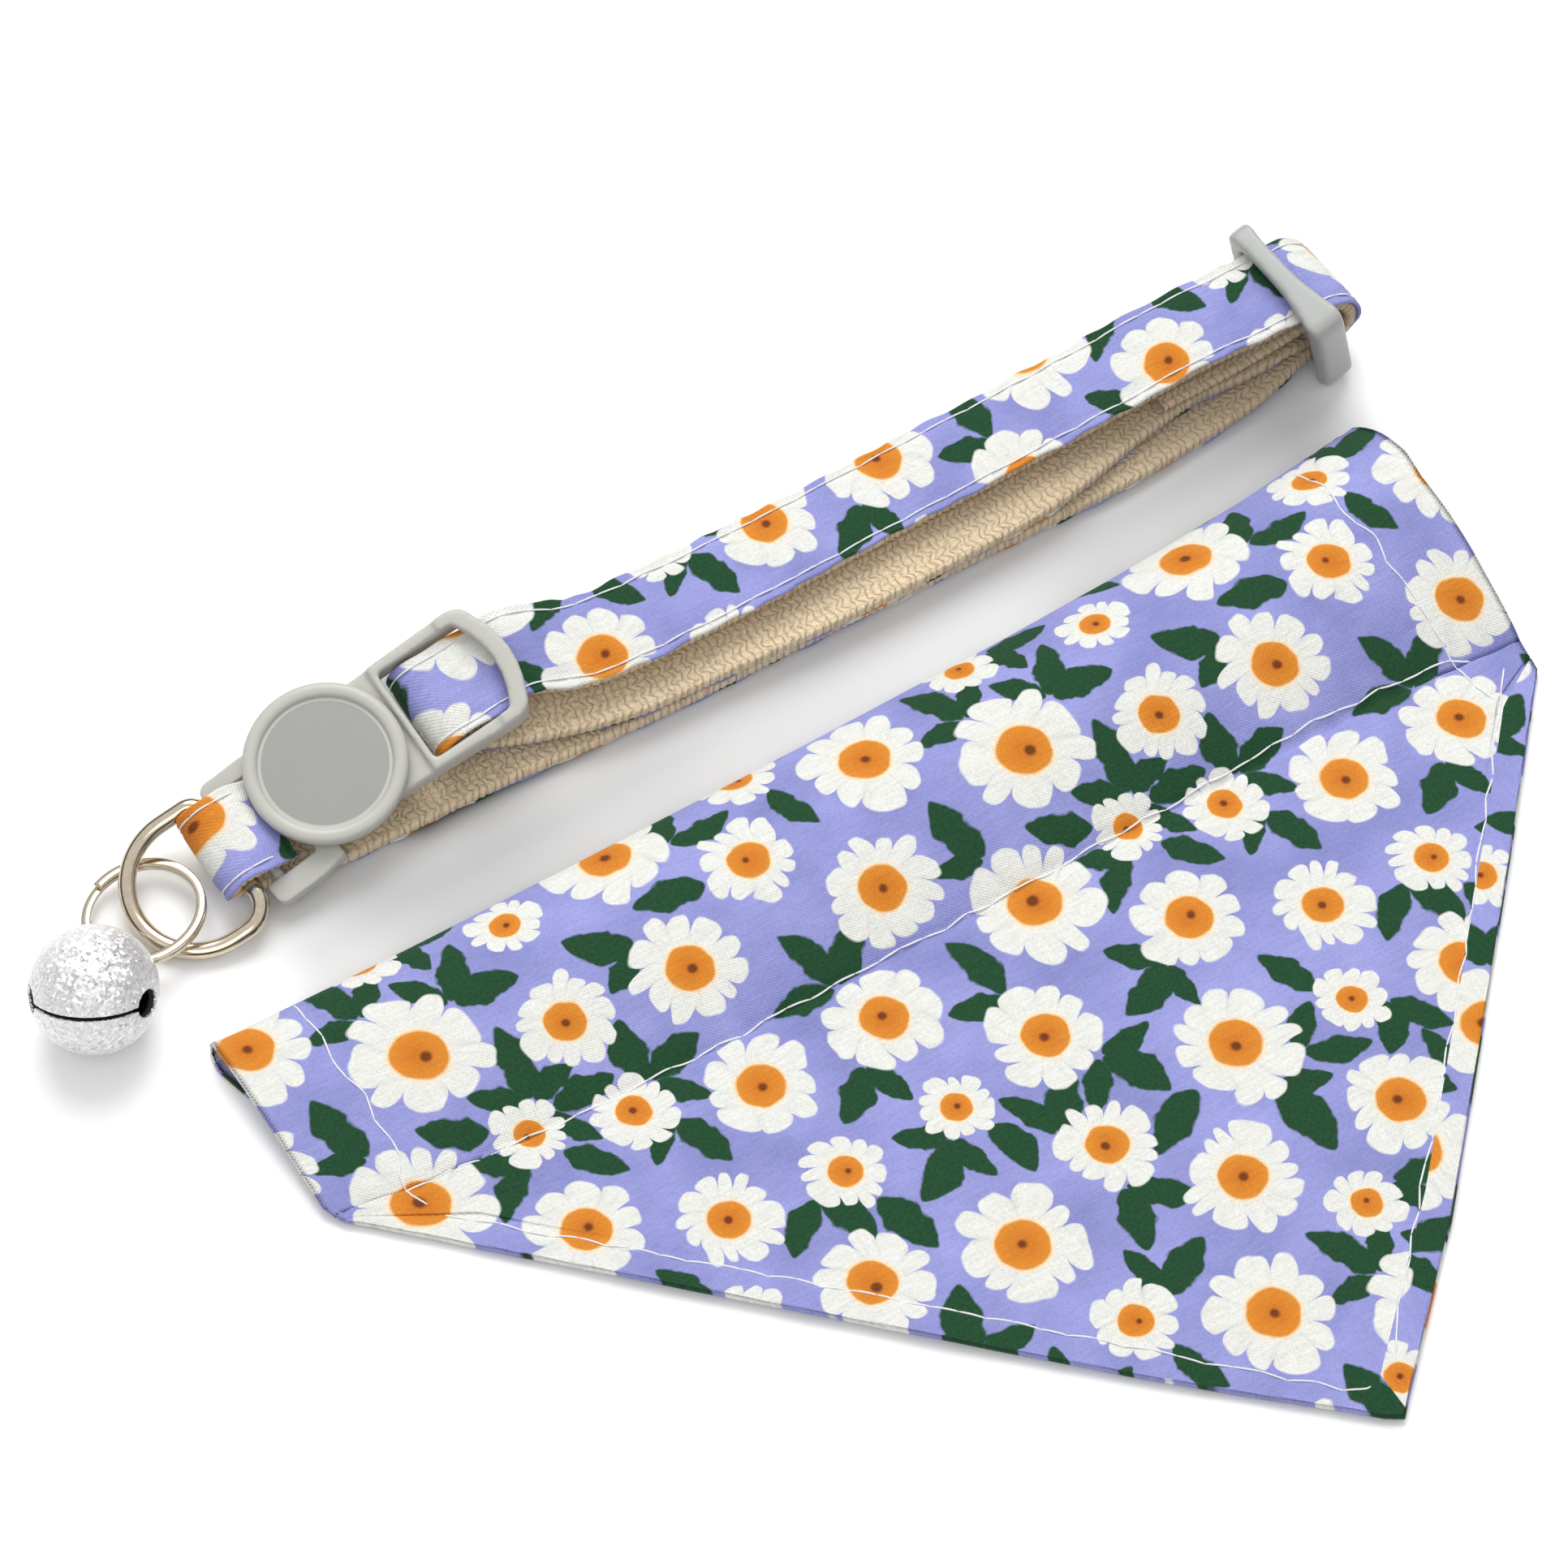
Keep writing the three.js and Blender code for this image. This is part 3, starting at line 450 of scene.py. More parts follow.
def daisy_group():
    """A daisy in its own coordinates: where its petals are, and its colour."""
    tree, s, (x, y, seed), result = group("daisy", Petals="Float", Colour="Color")
    r = s.math("SQRT", x * x + y * y)
    number = s.math("ROUND", seed * 997)
    sway = s.noise(s.vector(x * 1.3, y * 1.3, number), 1, 0)
    angle = s.math("ARCTAN2", y, x) + (sway - 0.5) * 0.9
    count = s.math("MODULO", number, MORE_PETALS) + FEWEST_PETALS
    around = angle * (1 / math.tau) * count
    index = s.math("FLOOR", around + 0.5)
    off = abs((around - index) * 2)
    which = s.math("ROUND", s.math("MODULO", index + count, count))
    petal = s.split(s.node("TexWhiteNoise", {0: s.vector(which, number, 1)}, "Color"))
    ragged = s.noise(s.vector(x * 2.6, y * 2.6, seed * 30), 1, 1)
    reach = petal[0] * 0.19 + 0.81
    notch = petal[1] * 0.26 + 0.09
    rim = reach * (1 - notch * off ** 3) + (ragged - 0.5) * 0.15
    s.put(result[0], s.edge(rim - r, 0.035))

    seam = off ** 6 * s.edge(r - 0.5, 0.3)
    veins = s.noise(s.vector(angle * 7, r * 1.3, seed * 9), 1, 2)
    colour = s.mix(s.line(seam * 0.35 + (veins - 0.45) * 0.75, 1, 0), PETAL, PETAL_SHADE)
    eye = (ragged - 0.5) * 0.10 + EYE_REACH
    colour = s.mix(s.line(eye + GLOW_WIDTH - r, 11, 0), colour, PETAL_GLOW)
    orange = s.mix(s.line(eye - r, 3.5, 0), EYE_RIM, EYE)
    colour = s.mix(s.edge(eye - r, 0.04), colour, orange)
    dx = x - (seed - 0.5) * 0.12
    dy = y + (seed - 0.4) * 0.10
    dot = (ragged - 0.5) * 0.10 + DOT_REACH - s.math("SQRT", dx * dx + dy * dy)
    s.put(result[1], s.mix(s.edge(dot, 0.05), colour, EYE_DOT))
    return tree


def leaf_group():
    """A bent almond in its own coordinates, with a ragged edge: 1 inside it."""
    tree, s, (x, y, seed), result = group("leaf", Leaf="Float")
    bend = (seed - 0.5) * 0.4 * (1 - x * x)
    full = s.math("SUBTRACT", 1, x * x, clamp=True) ** 0.75 * (1 - x * 0.16)
    lobe = s.math("SINE", x * 7 + seed * 40)
    ragged = s.noise(s.vector(x * 3, y * 3, seed * 40), 1, 1)
    width = full * (seed * 0.13 + 0.40) + lobe * full * 0.035 + (ragged - 0.5) * full * 0.26
    inside = s.math("MINIMUM", width - abs(y - bend), 0.985 - abs(x))
    s.put(result[0], s.edge(inside, 0.07))
    return tree


def print_material(name, fade):
    """The printed cotton; fade is how far its back side is washed out."""
    s = new_material(name)
    cloth = s.attribute("cloth")
    u, v, _ = s.split(cloth)
    fine = s.noise(cloth, 2.6, 3, 0.65)
    colour = s.mix(s.line(s.noise(cloth, 0.09, 3), 2, -0.5), LILAC_DARK, LILAC)
    green = s.mix(fine, GREEN_DARK, GREEN)

    def motif(kind, k):
        return s.node("Group", {0: s.attribute(f"{kind}{k}")}, None, node_tree=GROUPS[kind])

    for k in range(MOTIFS["leaf"][1]):
        colour = s.mix(motif("leaf", k)[0], colour, green)
    for k in reversed(range(MOTIFS["daisy"][1])):
        petals, paint = motif("daisy", k)
        colour = s.mix(petals, colour, paint)
    if fade:
        colour = s.mix(fade, colour, LILAC_WASHED)
    warp, weft = (s.math("SINE", along * (math.tau / COTTON_PITCH)) for along in (u, v))
    threads = warp * weft
    slub = s.noise(s.vector(u * 0.35, v * 2.4), 1, 3)
    worn = (fine - 0.5) * 0.42 + (threads * 0.06 + (slub - 0.5) * 0.28) + 0.98
    return s.surface({
        "Base Color": s.mix(1, colour, s.vector(worn, worn, worn), "MULTIPLY"),
        "Normal": s.bump(threads * 0.5 + (fine - 0.5) * 1.2, 0.05),
        "Roughness": 0.86, "Specular IOR Level": 0.25,
        "Sheen Weight": 0.05, "Sheen Roughness": 0.45,
    })


def webbing_material():
    """Beige webbing in slanting rows of yarn, with loose fibres, and painted shade that darkens it
    towards the slider.
    """
    s = new_material("webbing")
    cloth = s.attribute("cloth")
    u, v, _ = s.split(cloth)
    wobble = s.noise(cloth, 0.9, 3)
    zigzag = s.math("PINGPONG", v * (1 / RIB), 1)
    row = u * (1 / PICK) + zigzag * 0.5 + wobble * 2
    along = abs(s.math("SINE", row * math.pi))
    across = abs(s.math("SINE", v * (math.pi / RIB)))
    yarn = along ** 0.7 * s.math("MULTIPLY_ADD", across ** 0.6, 0.45, 0.55)
    fibres = s.noise(s.vector(u * 3.2, v * 2.2), 1, 4, 0.75)
    nubs = s.noise(cloth, 1.5, 2, 0.6)
    light = s.mix(s.noise(cloth, 0.16, 2), BEIGE, BEIGE_PATCH)
    colour = s.mix(s.line(yarn, 0.9, 0.15), BEIGE_GAP, light)
    colour = s.mix(s.line(fibres, 2.4, -0.95), colour, FIBRE)
    colour = s.mix(s.line(nubs, -2.6, 1.25), colour, NUB)
    return s.surface({
        # painted shade: the webbing darker towards the slider
        "Base Color": s.mix(s.table(s.part_xy()[0], SLIDER_PAINTED_SHADE) * 0.55, colour, BEIGE_IN_PAINTED_SHADE),
        "Normal": s.bump(yarn + fibres * 0.7 + nubs * 0.8, 0.18),
        "Roughness": 0.92, "Specular IOR Level": 0.2, "Sheen Weight": 0.15,
    })


def plastic_material(name, dark, light):
    s = new_material(name)
    at = s.object_mm()
    grain = s.noise(at, 5, 3, 0.6)
    return s.surface({
        "Base Color": s.mix(s.noise(at, 0.12, 2), linear(*dark), linear(*light)),
        "Roughness": s.math("MULTIPLY_ADD", grain, 0.16, 0.30),
        "Normal": s.bump(grain, 0.025),
    })


def nickel_material():
    s = new_material("nickel")
    fine = s.noise(s.object_mm(), 1.6, 3, 0.6)
    return s.surface({
        "Base Color": s.mix(fine, linear(222, 211, 192), linear(190, 176, 153)),
        "Roughness": s.math("MULTIPLY_ADD", fine, 0.10, 0.09),
        "Metallic": 1,
    })


def silver_material():
    """Silver with a coat of fine sparkling grains, each tilted its own way."""
    s = new_material("silver")
    at = s.object_mm()
    tilt = s.node("TexVoronoi", {"Vector": at, "Scale": 2.6}, "Color")
    normal = s.node("NewGeometry", {}, "Normal")
    for operation, a, b in (
        ("MULTIPLY_ADD", (0.8, 0.8, 0.8), (-0.4, -0.4, -0.4)), ("ADD", normal, None),
        ("NORMALIZE", None, None),
    ):
        tilt = s.node("VectorMath", {0: tilt, 1: a, 2: b}, operation=operation)
    grain = s.noise(at, 3.2, 3, 0.7)
    specks = s.line(grain, 3.4, -1.15)
    return s.surface({
        "Base Color": s.mix(specks, linear(216, 216, 218), linear(255, 255, 255)),
        "Normal": s.bump(grain, 0.12, tilt),
        "Metallic": 0.6, "Roughness": 0.27,
    })


def dull_material(name, grain_scale, dark, light, roughness, grain_height=None):
    s = new_material(name)
    grain = s.noise(s.object_mm(), grain_scale)
    if grain_height:
        s.surface({"Normal": s.bump(grain, grain_height)})
    colour = s.mix(grain, linear(*dark), linear(*light))
    return s.surface({"Base Color": colour, "Roughness": roughness})


GROUPS = {"daisy": daisy_group(), "leaf": leaf_group()}
MATERIALS = {
    "print": print_material("print", 0.0),
    "back": print_material("print_back", 0.55),
    "webbing": webbing_material(),
    "plastic": plastic_material("plastic", (178, 178, 171), (185, 184, 177)),
    # the badge's flat face: the same plastic as the rim, darker as painted shade
    "badge": plastic_material("plastic_badge_painted_shade", (147, 148, 144), (153, 154, 150)),
    "slider": plastic_material("plastic_slider", (158, 160, 157), (165, 167, 164)),
    "nickel": nickel_material(),
    "silver": silver_material(),
    # the bell's inside: dark as painted shade, with some tarnish
    "inside": dull_material("silver_inside_painted_shade", 1.0, (28, 27, 26), (52, 50, 48), 0.8),
    "thread": dull_material("thread", 6.0, (238, 238, 238), (214, 214, 218), 0.7, 0.04),
}


# ---- mesh tools


TINY = 1e-12  # keeps a vector of no length from dividing by zero


def unit(vectors, guard=0.0):
    return vectors / (np.linalg.norm(vectors, axis=-1)[..., None] + guard)


def arc(x, y, degrees, r, rise=None):
    """Points of a circle round (x, y), or of an ellipse if its rise differs."""
    rise = r if rise is None else rise
    return [(x + r * math.cos(a), y + rise * math.sin(a)) for a in np.radians(degrees)]


def reach_along(line):
    """The length of the line up to each of its points."""
    return np.concatenate([[0], np.cumsum(np.linalg.norm(np.diff(line, axis=0), axis=1))])


def sample(at, reach, values):
    """The values' columns at the given lengths."""
    return np.stack([np.interp(at, reach, column) for column in values.T], axis=1)


def round_ring(a, b, sides):
    """Points of unit circles (rows, sides, 3) between the directions a and b."""
    angle = np.linspace(0, math.tau, sides, endpoint=False)[None, :, None]
    return a[:, None] * np.cos(angle) + b[:, None] * np.sin(angle)


def new_piece(name, mesh, materials, replaced):
    """A smooth piece that rides on the one body."""
    for material in materials:
        mesh.materials.append(MATERIALS[material])
    mesh.polygons.foreach_set("use_smooth", [True] * len(mesh.polygons))
    piece = bpy.data.objects.new(name, mesh)
    bpy.context.scene.collection.objects.link(piece)
    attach(piece, "root")
    if replaced:
        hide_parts(*replaced)
    return piece


def add_piece(name, points, faces, materials, replaced=(), face_material=None):
    """A piece from points in part millimetres."""
    mesh = bpy.data.meshes.new(name)
    mesh.from_pydata(place(points).tolist(), [], [tuple(map(int, face)) for face in faces])
    if face_material is not None:
        mesh.polygons.foreach_set("material_index", np.asarray(face_material, np.int32))
    return new_piece(name, mesh, materials, replaced)


def grid_faces(rows, columns, wrap=False):
    """Quads of a rows x columns grid of points, whose rows may be closed."""
    across = columns if wrap else columns - 1
    i, j = np.meshgrid(np.arange(rows - 1), np.arange(across), indexing="ij")
    a, b = i * columns + j, i * columns + (j + 1) % columns
    return np.stack([a, a + columns, b + columns, b], axis=-1).reshape(-1, 4)


def rotation(axes, *degrees):
    """The product of turns by these degrees about the named axes."""
    result = Matrix.Identity(3)
    for axis, turn in zip(axes, degrees):
        result = result @ Matrix.Rotation(math.radians(turn), 3, axis)
    return np.array(result)


class Group:
    """A turned and moved frame."""

    def __init__(self, at, turn):
        self.at, self.turn = np.array(at, float), turn

    def points(self, values):
        return self.at + np.array(values, float) @ self.turn.T


def rounded_copy(name, node, voxel, passes, material):
    """The CAD node's solid with its moulded edges rounded."""
    work = bpy.data.objects.new(name + "_work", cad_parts[node].data.copy())
    bpy.context.scene.collection.objects.link(work)
    remesh = work.modifiers.new("voxels", "REMESH")
    remesh.mode, remesh.voxel_size = "VOXEL", voxel / 1000
    smooth = work.modifiers.new("round", "SMOOTH")
    smooth.factor, smooth.iterations = 0.5, passes
    bpy.context.view_layer.update()
    evaluated = work.evaluated_get(bpy.context.evaluated_depsgraph_get())
    mesh = bpy.data.meshes.new_from_object(evaluated)
    bpy.data.objects.remove(work)
    mesh.name = name
    mesh.materials.clear()
    return new_piece(name, mesh, [material], (node,))


# ---- layout shared with the solids

STRAP = dict(web_width=10.4, cover_width=10.9, web=1.0, cover=1.0, seat=0.18, gap=0.2)
BUCKLE = dict(
    place=(26.2, 20.4, 5.7), turn=(1, -10.5, 14), sideways=-0.35,
    disc_radius=9.2, disc_top=5.0, disc_thick=2.0,
    window_to=20.9, end_bar=1.9, cross_bar=(14.1, -0.4, 1.0),
)
SLIDER = dict(place=(152.5, 15.0, 7.972), turn=(4, 3, 75), centre_bar=1.5, thick=2.4)
D_RING = dict(
    place=(12.1, 17.2, 4.5), turn=(-12, 12), wire=1.0, half=7.9, flank=4.6, corner=1.6,
    near_corner=3.2, strap_at=1.4,
)
SPLIT_RING = dict(
    place=(0.8, 17.4, 2.7), turn=(-4, -9), radius=6.5, wide=1.0, thick=0.5, soft=0.14,
    pitch=0.62, turns=1.9, start=150,
)
BELL = dict(place=(-9.3, 9.3, 7.1), radius=7.1, skin=0.2)

buckle = Group(BUCKLE["place"], rotation("ZYX", *BUCKLE["turn"]))
window_side = Group(buckle.points((0, BUCKLE["sideways"], 0)), buckle.turn)
slider = Group(SLIDER["place"], rotation("ZXY", *SLIDER["turn"]))
d_ring = Group(D_RING["place"], rotation("YX", *D_RING["turn"]))
strap_seat = Group(d_ring.points((0, D_RING["strap_at"], 0)), d_ring.turn)
split_ring = Group(SPLIT_RING["place"], rotation("YX", *SPLIT_RING["turn"]))

# x, y, z of the webbing's middle and its sideways roll in degrees
TAB = [(132.6, 16.4, 6.1, 2), (137.5, 16.2, 6.4, 2), (143, 15.8, 7.3, 3), (148, 15.3, 8.8, 3)]
RETURN_RUN = [
    (148.6, 15.1, 6.2, 3), (143.5, 15.6, 5.4, 2), (137, 16.4, 4.6, 1), (128, 15.4, 4.2, 0),
    (115, 12.9, 4.15, 0), (100, 12.5, 4.15, 0), (84, 12.9, 4.15, 0), (70, 13.9, 4.2, 2),
    (60, 14.6, 4.6, 5), (51, 16.8, 5.3, 10),
]
TOP_RUN = [
    (58, 18.4, 8.2, 9), (70, 17.9, 7.4, 6), (84, 17.9, 6.8, 3), (98, 18, 6.6, 2),
    (114, 17.9, 6.8, 2), (128, 17.4, 8, 2), (139, 16.8, 9.5, 2), (146.5, 15.8, 10.6, 3),
]
FOLD_YAW = 4
FOLD = [
    (151.2, 15.4, 11.05, 3), (154.2, 15.4, 10.75, 3), (156.5, 15.4, 9.4, 3), (157.6, 15.3, 7.4, 3),
    (157.4, 15.2, 5.6, 3), (156, 15.1, 4.75, 3), (153.9, 15, 4.75, 3),
]
LOWER_RUN = [
    (149.5, 14.4, 3.8, 2), (143.5, 13.3, 2.5, 1), (137, 12.9, 1.8, 0), (131, 12.6, 1.69, 0),
    (126, 12.4, 1.69, 0), (104, 13.1, 1.69, 0), (82, 13.9, 1.69, 0), (61, 14.6, 1.69, 0),
    (44, 16.1, 1.69, 0), (30, 16.7, 1.69, 0), (24, 16.9, 1.72, 0), (20, 17.5, 1.85, 1),
    (16.8, 18.3, 2.05, 6),
]


def strap_rows():
    """The ribbon's rows as (place, sideways direction), and how many belong to the bare end."""

    def free(rows, yaw=0.0):
        turn = rotation("Z", yaw)
        rolls = [(np.array(at), math.radians(roll)) for *at, roll in rows]
        return [(at, turn @ np.array([0, math.cos(roll), math.sin(roll)])) for at, roll in rolls]

    def held(group, x, z):
        return group.points((x, 0, z)), group.turn[:, 1]

    def round_bar(group, bar, start, end, steps):
        x, z, r = bar
        reach = r + STRAP["gap"] + STRAP["web"] / 2
        return [held(group, *at) for at in arc(x, z, np.linspace(start, end, steps + 1), reach)]

    centre = (0, 0, math.hypot(SLIDER["thick"], SLIDER["centre_bar"]) / 2)
    bare = free(TAB) + round_bar(slider, centre, 165, 15, 4)
    end = BUCKLE["window_to"]
    past = end + BUCKLE["end_bar"] + 1.4
    main = (
        free(RETURN_RUN)
        + round_bar(window_side, BUCKLE["cross_bar"], 270, 90, 6)
        + [held(window_side, end - 0.8, 0.3), held(window_side, past, -0.5)]
        + free(TOP_RUN) + free(FOLD, FOLD_YAW) + free(LOWER_RUN)
        + round_bar(strap_seat, (0, 0, D_RING["wire"]), 238, 60, 7)
        + [held(strap_seat, 3.0, 0.5), held(strap_seat, 5.5, -1.45)]
    )
    return bare + main, len(bare)


def centripetal(points, t):
    """A point of the centripetal Catmull-Rom curve through points, t counted in rows."""
    points = [2 * points[0] - points[1], *points, 2 * points[-1] - points[-2]]
    i = min(int(t), len(points) - 4)
    w = t - i
    p0, p1, p2, p3 = points[i:i + 4]
    steps = (p1 - p0, p2 - p1, p3 - p2)
    d0, d1, d2 = (max(np.linalg.norm(step), 1e-6) ** 0.5 for step in steps)
    m1 = ((p1 - p0) / d0 - (p2 - p0) / (d0 + d1) + (p2 - p1) / d1) * d1
    m2 = ((p2 - p1) / d1 - (p3 - p1) / (d1 + d2) + (p3 - p2) / d2) * d1
    a, b = 2 * (p1 - p2) + m1 + m2, 3 * (p2 - p1) - 2 * m1 - m2
    return ((a * w + b) * w + m1) * w + p1


class Ribbon:
    """The strap's middle line, evenly spaced, with its sideways and outward directions."""

    def __init__(self, spacing, fine=24):
        rows, bare = strap_rows()
        ts = np.arange((len(rows) - 1) * fine + 1) / fine
        line, sideways = (np.array([centripetal(values, t) for t in ts]) for values in zip(*rows))
        length = reach_along(line)
        self.bare_length = length[bare * fine]
        self.s = np.arange(0, length[-1], spacing)
        self.at = sample(self.s, length, line)
        across = sample(self.s, length, sideways)
        along = unit(np.gradient(self.at, axis=0))
        self.across = unit(across - (across * along).sum(1)[:, None] * along)
        self.out = np.cross(along, self.across)


def band(ribbon, chosen, profile, change):
    """A closed band on the ribbon's chosen rows: its points, quads and the corners' cloth places.

    profile holds (across, out) round the band; change(s, across, out) makes it uneven.
    """
    at, across, out = ribbon.at[chosen], ribbon.across[chosen], ribbon.out[chosen]
    s = ribbon.s[chosen][:, None]
    u, v = change(s, *profile.T)
    points = at[:, None] + across[:, None] * u[..., None] + out[:, None] * v[..., None]
    count, sides = u.shape
    k = np.arange(sides // 2 - 1)
    cap = np.stack([k, k + 1, sides - 2 - k, sides - 1 - k], axis=1)
    round_it = grid_faces(count, sides, wrap=True)
    faces = np.vstack([round_it, cap[:, ::-1], cap + (count - 1) * sides])
    uv = np.stack([np.broadcast_to(s, u.shape).ravel(), u.ravel()], axis=1)
    return points.reshape(-1, 3), faces, uv[faces]


def band_profile(width, low, high, across, round_by):
    """Points round a flat band: the under side, an edge, the top and the other edge."""
    half = width / 2
    middle, rise = (low + high) / 2, (high - low) / 2
    lower = [(x, low) for x in np.linspace(-half + round_by, half - round_by, across)]
    lower += arc(half - round_by, middle, [-60, -30, 0, 30, 60], round_by, rise)
    return np.array(lower + [(-x, 2 * middle - y) for x, y in lower])


# ---- strap

THREAD = dict(length=2.9, gap=0.03, radius=0.12)
STITCH_SIDES, STITCH_START = 6, 0.4
# along a stitch: its share of the full radius, and how far its middle stands out
SWELL = np.array([0.70, 0.92, 0.98, 1.0, 0.98, 0.92, 0.70])
STAND_OUT = np.array([-0.04, 0.03, 0.05, 0.06, 0.05, 0.03, -0.04])
STITCH_IN = 1.05  # the stitch lines lie this far in from the cover's edges
WEB_BACKED = 0.5  # the webbing is this much fuller where the cover is sewn on
TUCKED = 0.6  # the cover's edges draw in this far where it faces down
# where the pieces lie on the print
STRAP_PRINT, BANDANA_PRINT, HEM_PRINT = np.array([(13.0, 30.0), (5.0, 40.0), (23.0, 11.0)])


def add_stitches(name, runs):
    """One piece of short stitches, small lozenges along runs of (points, normals, wander)."""
    length, steps = THREAD["length"], np.linspace(0, 1, len(SWELL))
    grids = []
    for points, normals, wander in runs:
        reach = reach_along(points)
        start, count = STITCH_START, 0
        while start + length < reach[-1]:
            span = start + steps * length
            line, up = sample(span, reach, points), unit(sample(span, reach, normals))
            side = np.cross(unit(np.gradient(line, axis=0)), up)
            ends = [wander * math.sin(2.3 * k + 0.7 * math.sin(k)) for k in (count, count + 1)]
            drift = ends[0] + (ends[1] - ends[0]) * steps
            middle = line + up * STAND_OUT[:, None] + side * drift[:, None]
            ring = round_ring(side, up, STITCH_SIDES) * (THREAD["radius"] * SWELL)[:, None, None]
            grids.append((middle[:, None] + ring).reshape(-1, 3))
            start, count = start + (length + THREAD["gap"]), count + 1
    offset = np.arange(len(grids))[:, None, None] * len(grids[0])
    faces = grid_faces(len(steps), STITCH_SIDES, wrap=True) + offset
    add_piece(name, np.vstack(grids), faces.reshape(-1, 4), ["thread"])


def strap():
    ribbon = Ribbon(0.3)
    web = STRAP["web"] / 2

    def woven_edge(s, u, v):
        backed = np.clip((s - ribbon.bare_length) / 1.5, 0, 1)
        v = v + (v > 0) * backed * WEB_BACKED
        ripple = 0.09 * np.sin(s * math.tau / PICK)
        side = np.clip((np.abs(u) - STRAP["web_width"] / 2 + 0.8) / 0.8, 0, 1)
        return u + np.sign(u) * side * (ripple - 0.06), v

    profile = band_profile(STRAP["web_width"], -web, web, 11, 0.45)
    points, faces, uv = band(ribbon, np.arange(len(ribbon.s)), profile, woven_edge)
    piece = add_piece("webbing", points, faces, ["webbing"], ("strap_webbing",))
    cloth_layer(piece.data, uv)

    low = web + WEB_BACKED + 0.02
    high = web + STRAP["seat"] + STRAP["cover"] - 0.12
    half = STRAP["cover_width"] / 2
    facing_down = np.clip(-ribbon.out[:, 2] * 1.5, 0, 1)

    def puckered(s, u, v):
        from_edge = half - np.abs(u)
        line = np.exp(-(((from_edge - STITCH_IN) / 0.45) ** 2))
        top = v > (low + high) / 2
        pull = 0.5 + 0.5 * np.cos(s * math.tau / 3.1)
        edge = np.clip(1 - from_edge / 1.2, 0, 1)
        bulge = 0.10 * np.cos(np.clip(u / half, -1, 1) * math.pi / 2)
        v = v + np.where(top, bulge - line * (0.16 + 0.10 * pull), 0)
        wave = 0.10 * np.sin(s / 2.7 + 2 * np.sin(s / 9.1))
        wave = wave + 0.11 * np.sin(s / 0.85 + np.sin(s / 3.7))
        tuck = TUCKED * np.interp(s, ribbon.s, facing_down)
        return u + np.sign(u) * edge * (wave - tuck), v

    chosen = np.arange(int(round(ribbon.bare_length / ribbon.s[1])), len(ribbon.s), 2)
    profile = band_profile(STRAP["cover_width"], low, high, 21, 0.4)
    points, faces, uv = band(ribbon, chosen, profile, puckered)
    piece = add_piece("cover", points, faces, ["print"], ("strap_cover",))
    print_on(piece.data, uv + STRAP_PRINT)

    at, across, out = ribbon.at[chosen], ribbon.across[chosen], ribbon.out[chosen]
    lines = [at + across * side * (half - STITCH_IN) + out * (high - 0.06) for side in (-1, 1)]
    add_stitches("strap_stitches", [(line, out, 0.11) for line in lines])


# ---- bandana

CLOTH = 0.45  # the cloth's thickness
HEM = dict(thick=0.8, rest=0.45)  # the turned hem, and its middle over the lift
SEAM_TOP = 1.25  # where the channel is stitched down
SETTLED = 0.3  # the thin cloth's hem settles to this share of the solid's lift
LOWEST = 0.03  # the cloth stays this far over the table

# x: station; fold: the channel's folded edge; seam: its stitched line; hem: the cut edge;
# crown: the channel's height; peak: where the crown stands; lift: the hem over the table
BANDANA = np.array([
    (0, 0, -25.4, -26.6, 3.6, 0.24, 0.5), (7.5, -0.6, -27, -33, 3.6, 0.3, 1.3),
    (24, -1.3, -28.8, -49.6, 4, 0.38, 2), (44, -1.8, -30, -69.6, 4.6, 0.42, 2.1),
    (63, -2.2, -30.6, -88.2, 5.2, 0.44, 1.6), (80.6, -2.4, -31, -104.4, 5.6, 0.45, 0.9),
    (82.3, -2.4, -31, -105.5, 5.65, 0.45, 0.85), (84, -2.4, -31, -103.9, 5.7, 0.45, 0.8),
    (100, -2.5, -31.3, -89.6, 6.2, 0.45, 0.7), (118, -2.2, -31.8, -71.3, 6.7, 0.44, 0.6),
    (134, -1.4, -32.6, -54.8, 7.3, 0.42, 0.6), (144, -0.5, -33.6, -44.4, 7.8, 0.38, 0.6),
    (150.2, 0, -34.4, -38.4, 8, 0.34, 0.6),
])
TIP_X = 82.3
# y along each mouth and how far the cloth's edge there stands to the right of the straight cut
LEFT_MOUTH = np.array([
    (-26.8, 1), (-24.2, -0.4), (-15.9, -0.5), (-7.6, -0.7), (-1.5, -0.9), (0, 0),
])
RIGHT_MOUTH = np.array([
    (-38.4, -0.5), (-34, 0.1), (-29.9, 0.4), (-24, 0.7), (-18.7, 0.9), (-13.1, 0.8),
    (-9.5, 1.4), (-4.9, 1.1), (0, 0),
])
# the same for the under layer, which lies back from the mouths but for a sliver at the left one
LEFT_UNDER = np.array([(-26, 1), (-10, 1), (-7.5, -0.4), (-3, -1.5), (-1, -1.2), (0, -0.6)])
RIGHT_UNDER = np.array([(-38.4, -1), (0, -1)])
COLUMNS, UNDER_ROWS, TOP_ROWS, PANEL_ROWS = 202, 24, 44, 84
UNDER_Z, TOP_Z = 0.36, 1.62  # the middle of the under layer, and of the top one at the fold
FOLD_TURN = [(0.72, 0.42), (0.44, 0.60), (0.32, 0.88), (0.34, 1.16), (0.48, 1.42)]  # y back, z
HEM_DROPS = np.array([5.6, 5.1, 4.75, 4.4, 4.1, 3.7, 3.1, 2.4, 1.6, 0.9, 0.4, 0.0])
SMOOTHED_OVER = 9  # columns
UNDER_PAST_SEAM = 3.2  # the channel's under layer ends this far past its stitched line
WRINKLES = [(0.32, 17.0, 15.0, 3.1), (0.12, 6.0, 5.0, 8.4)]  # height, grain in X and Y, noise's Z
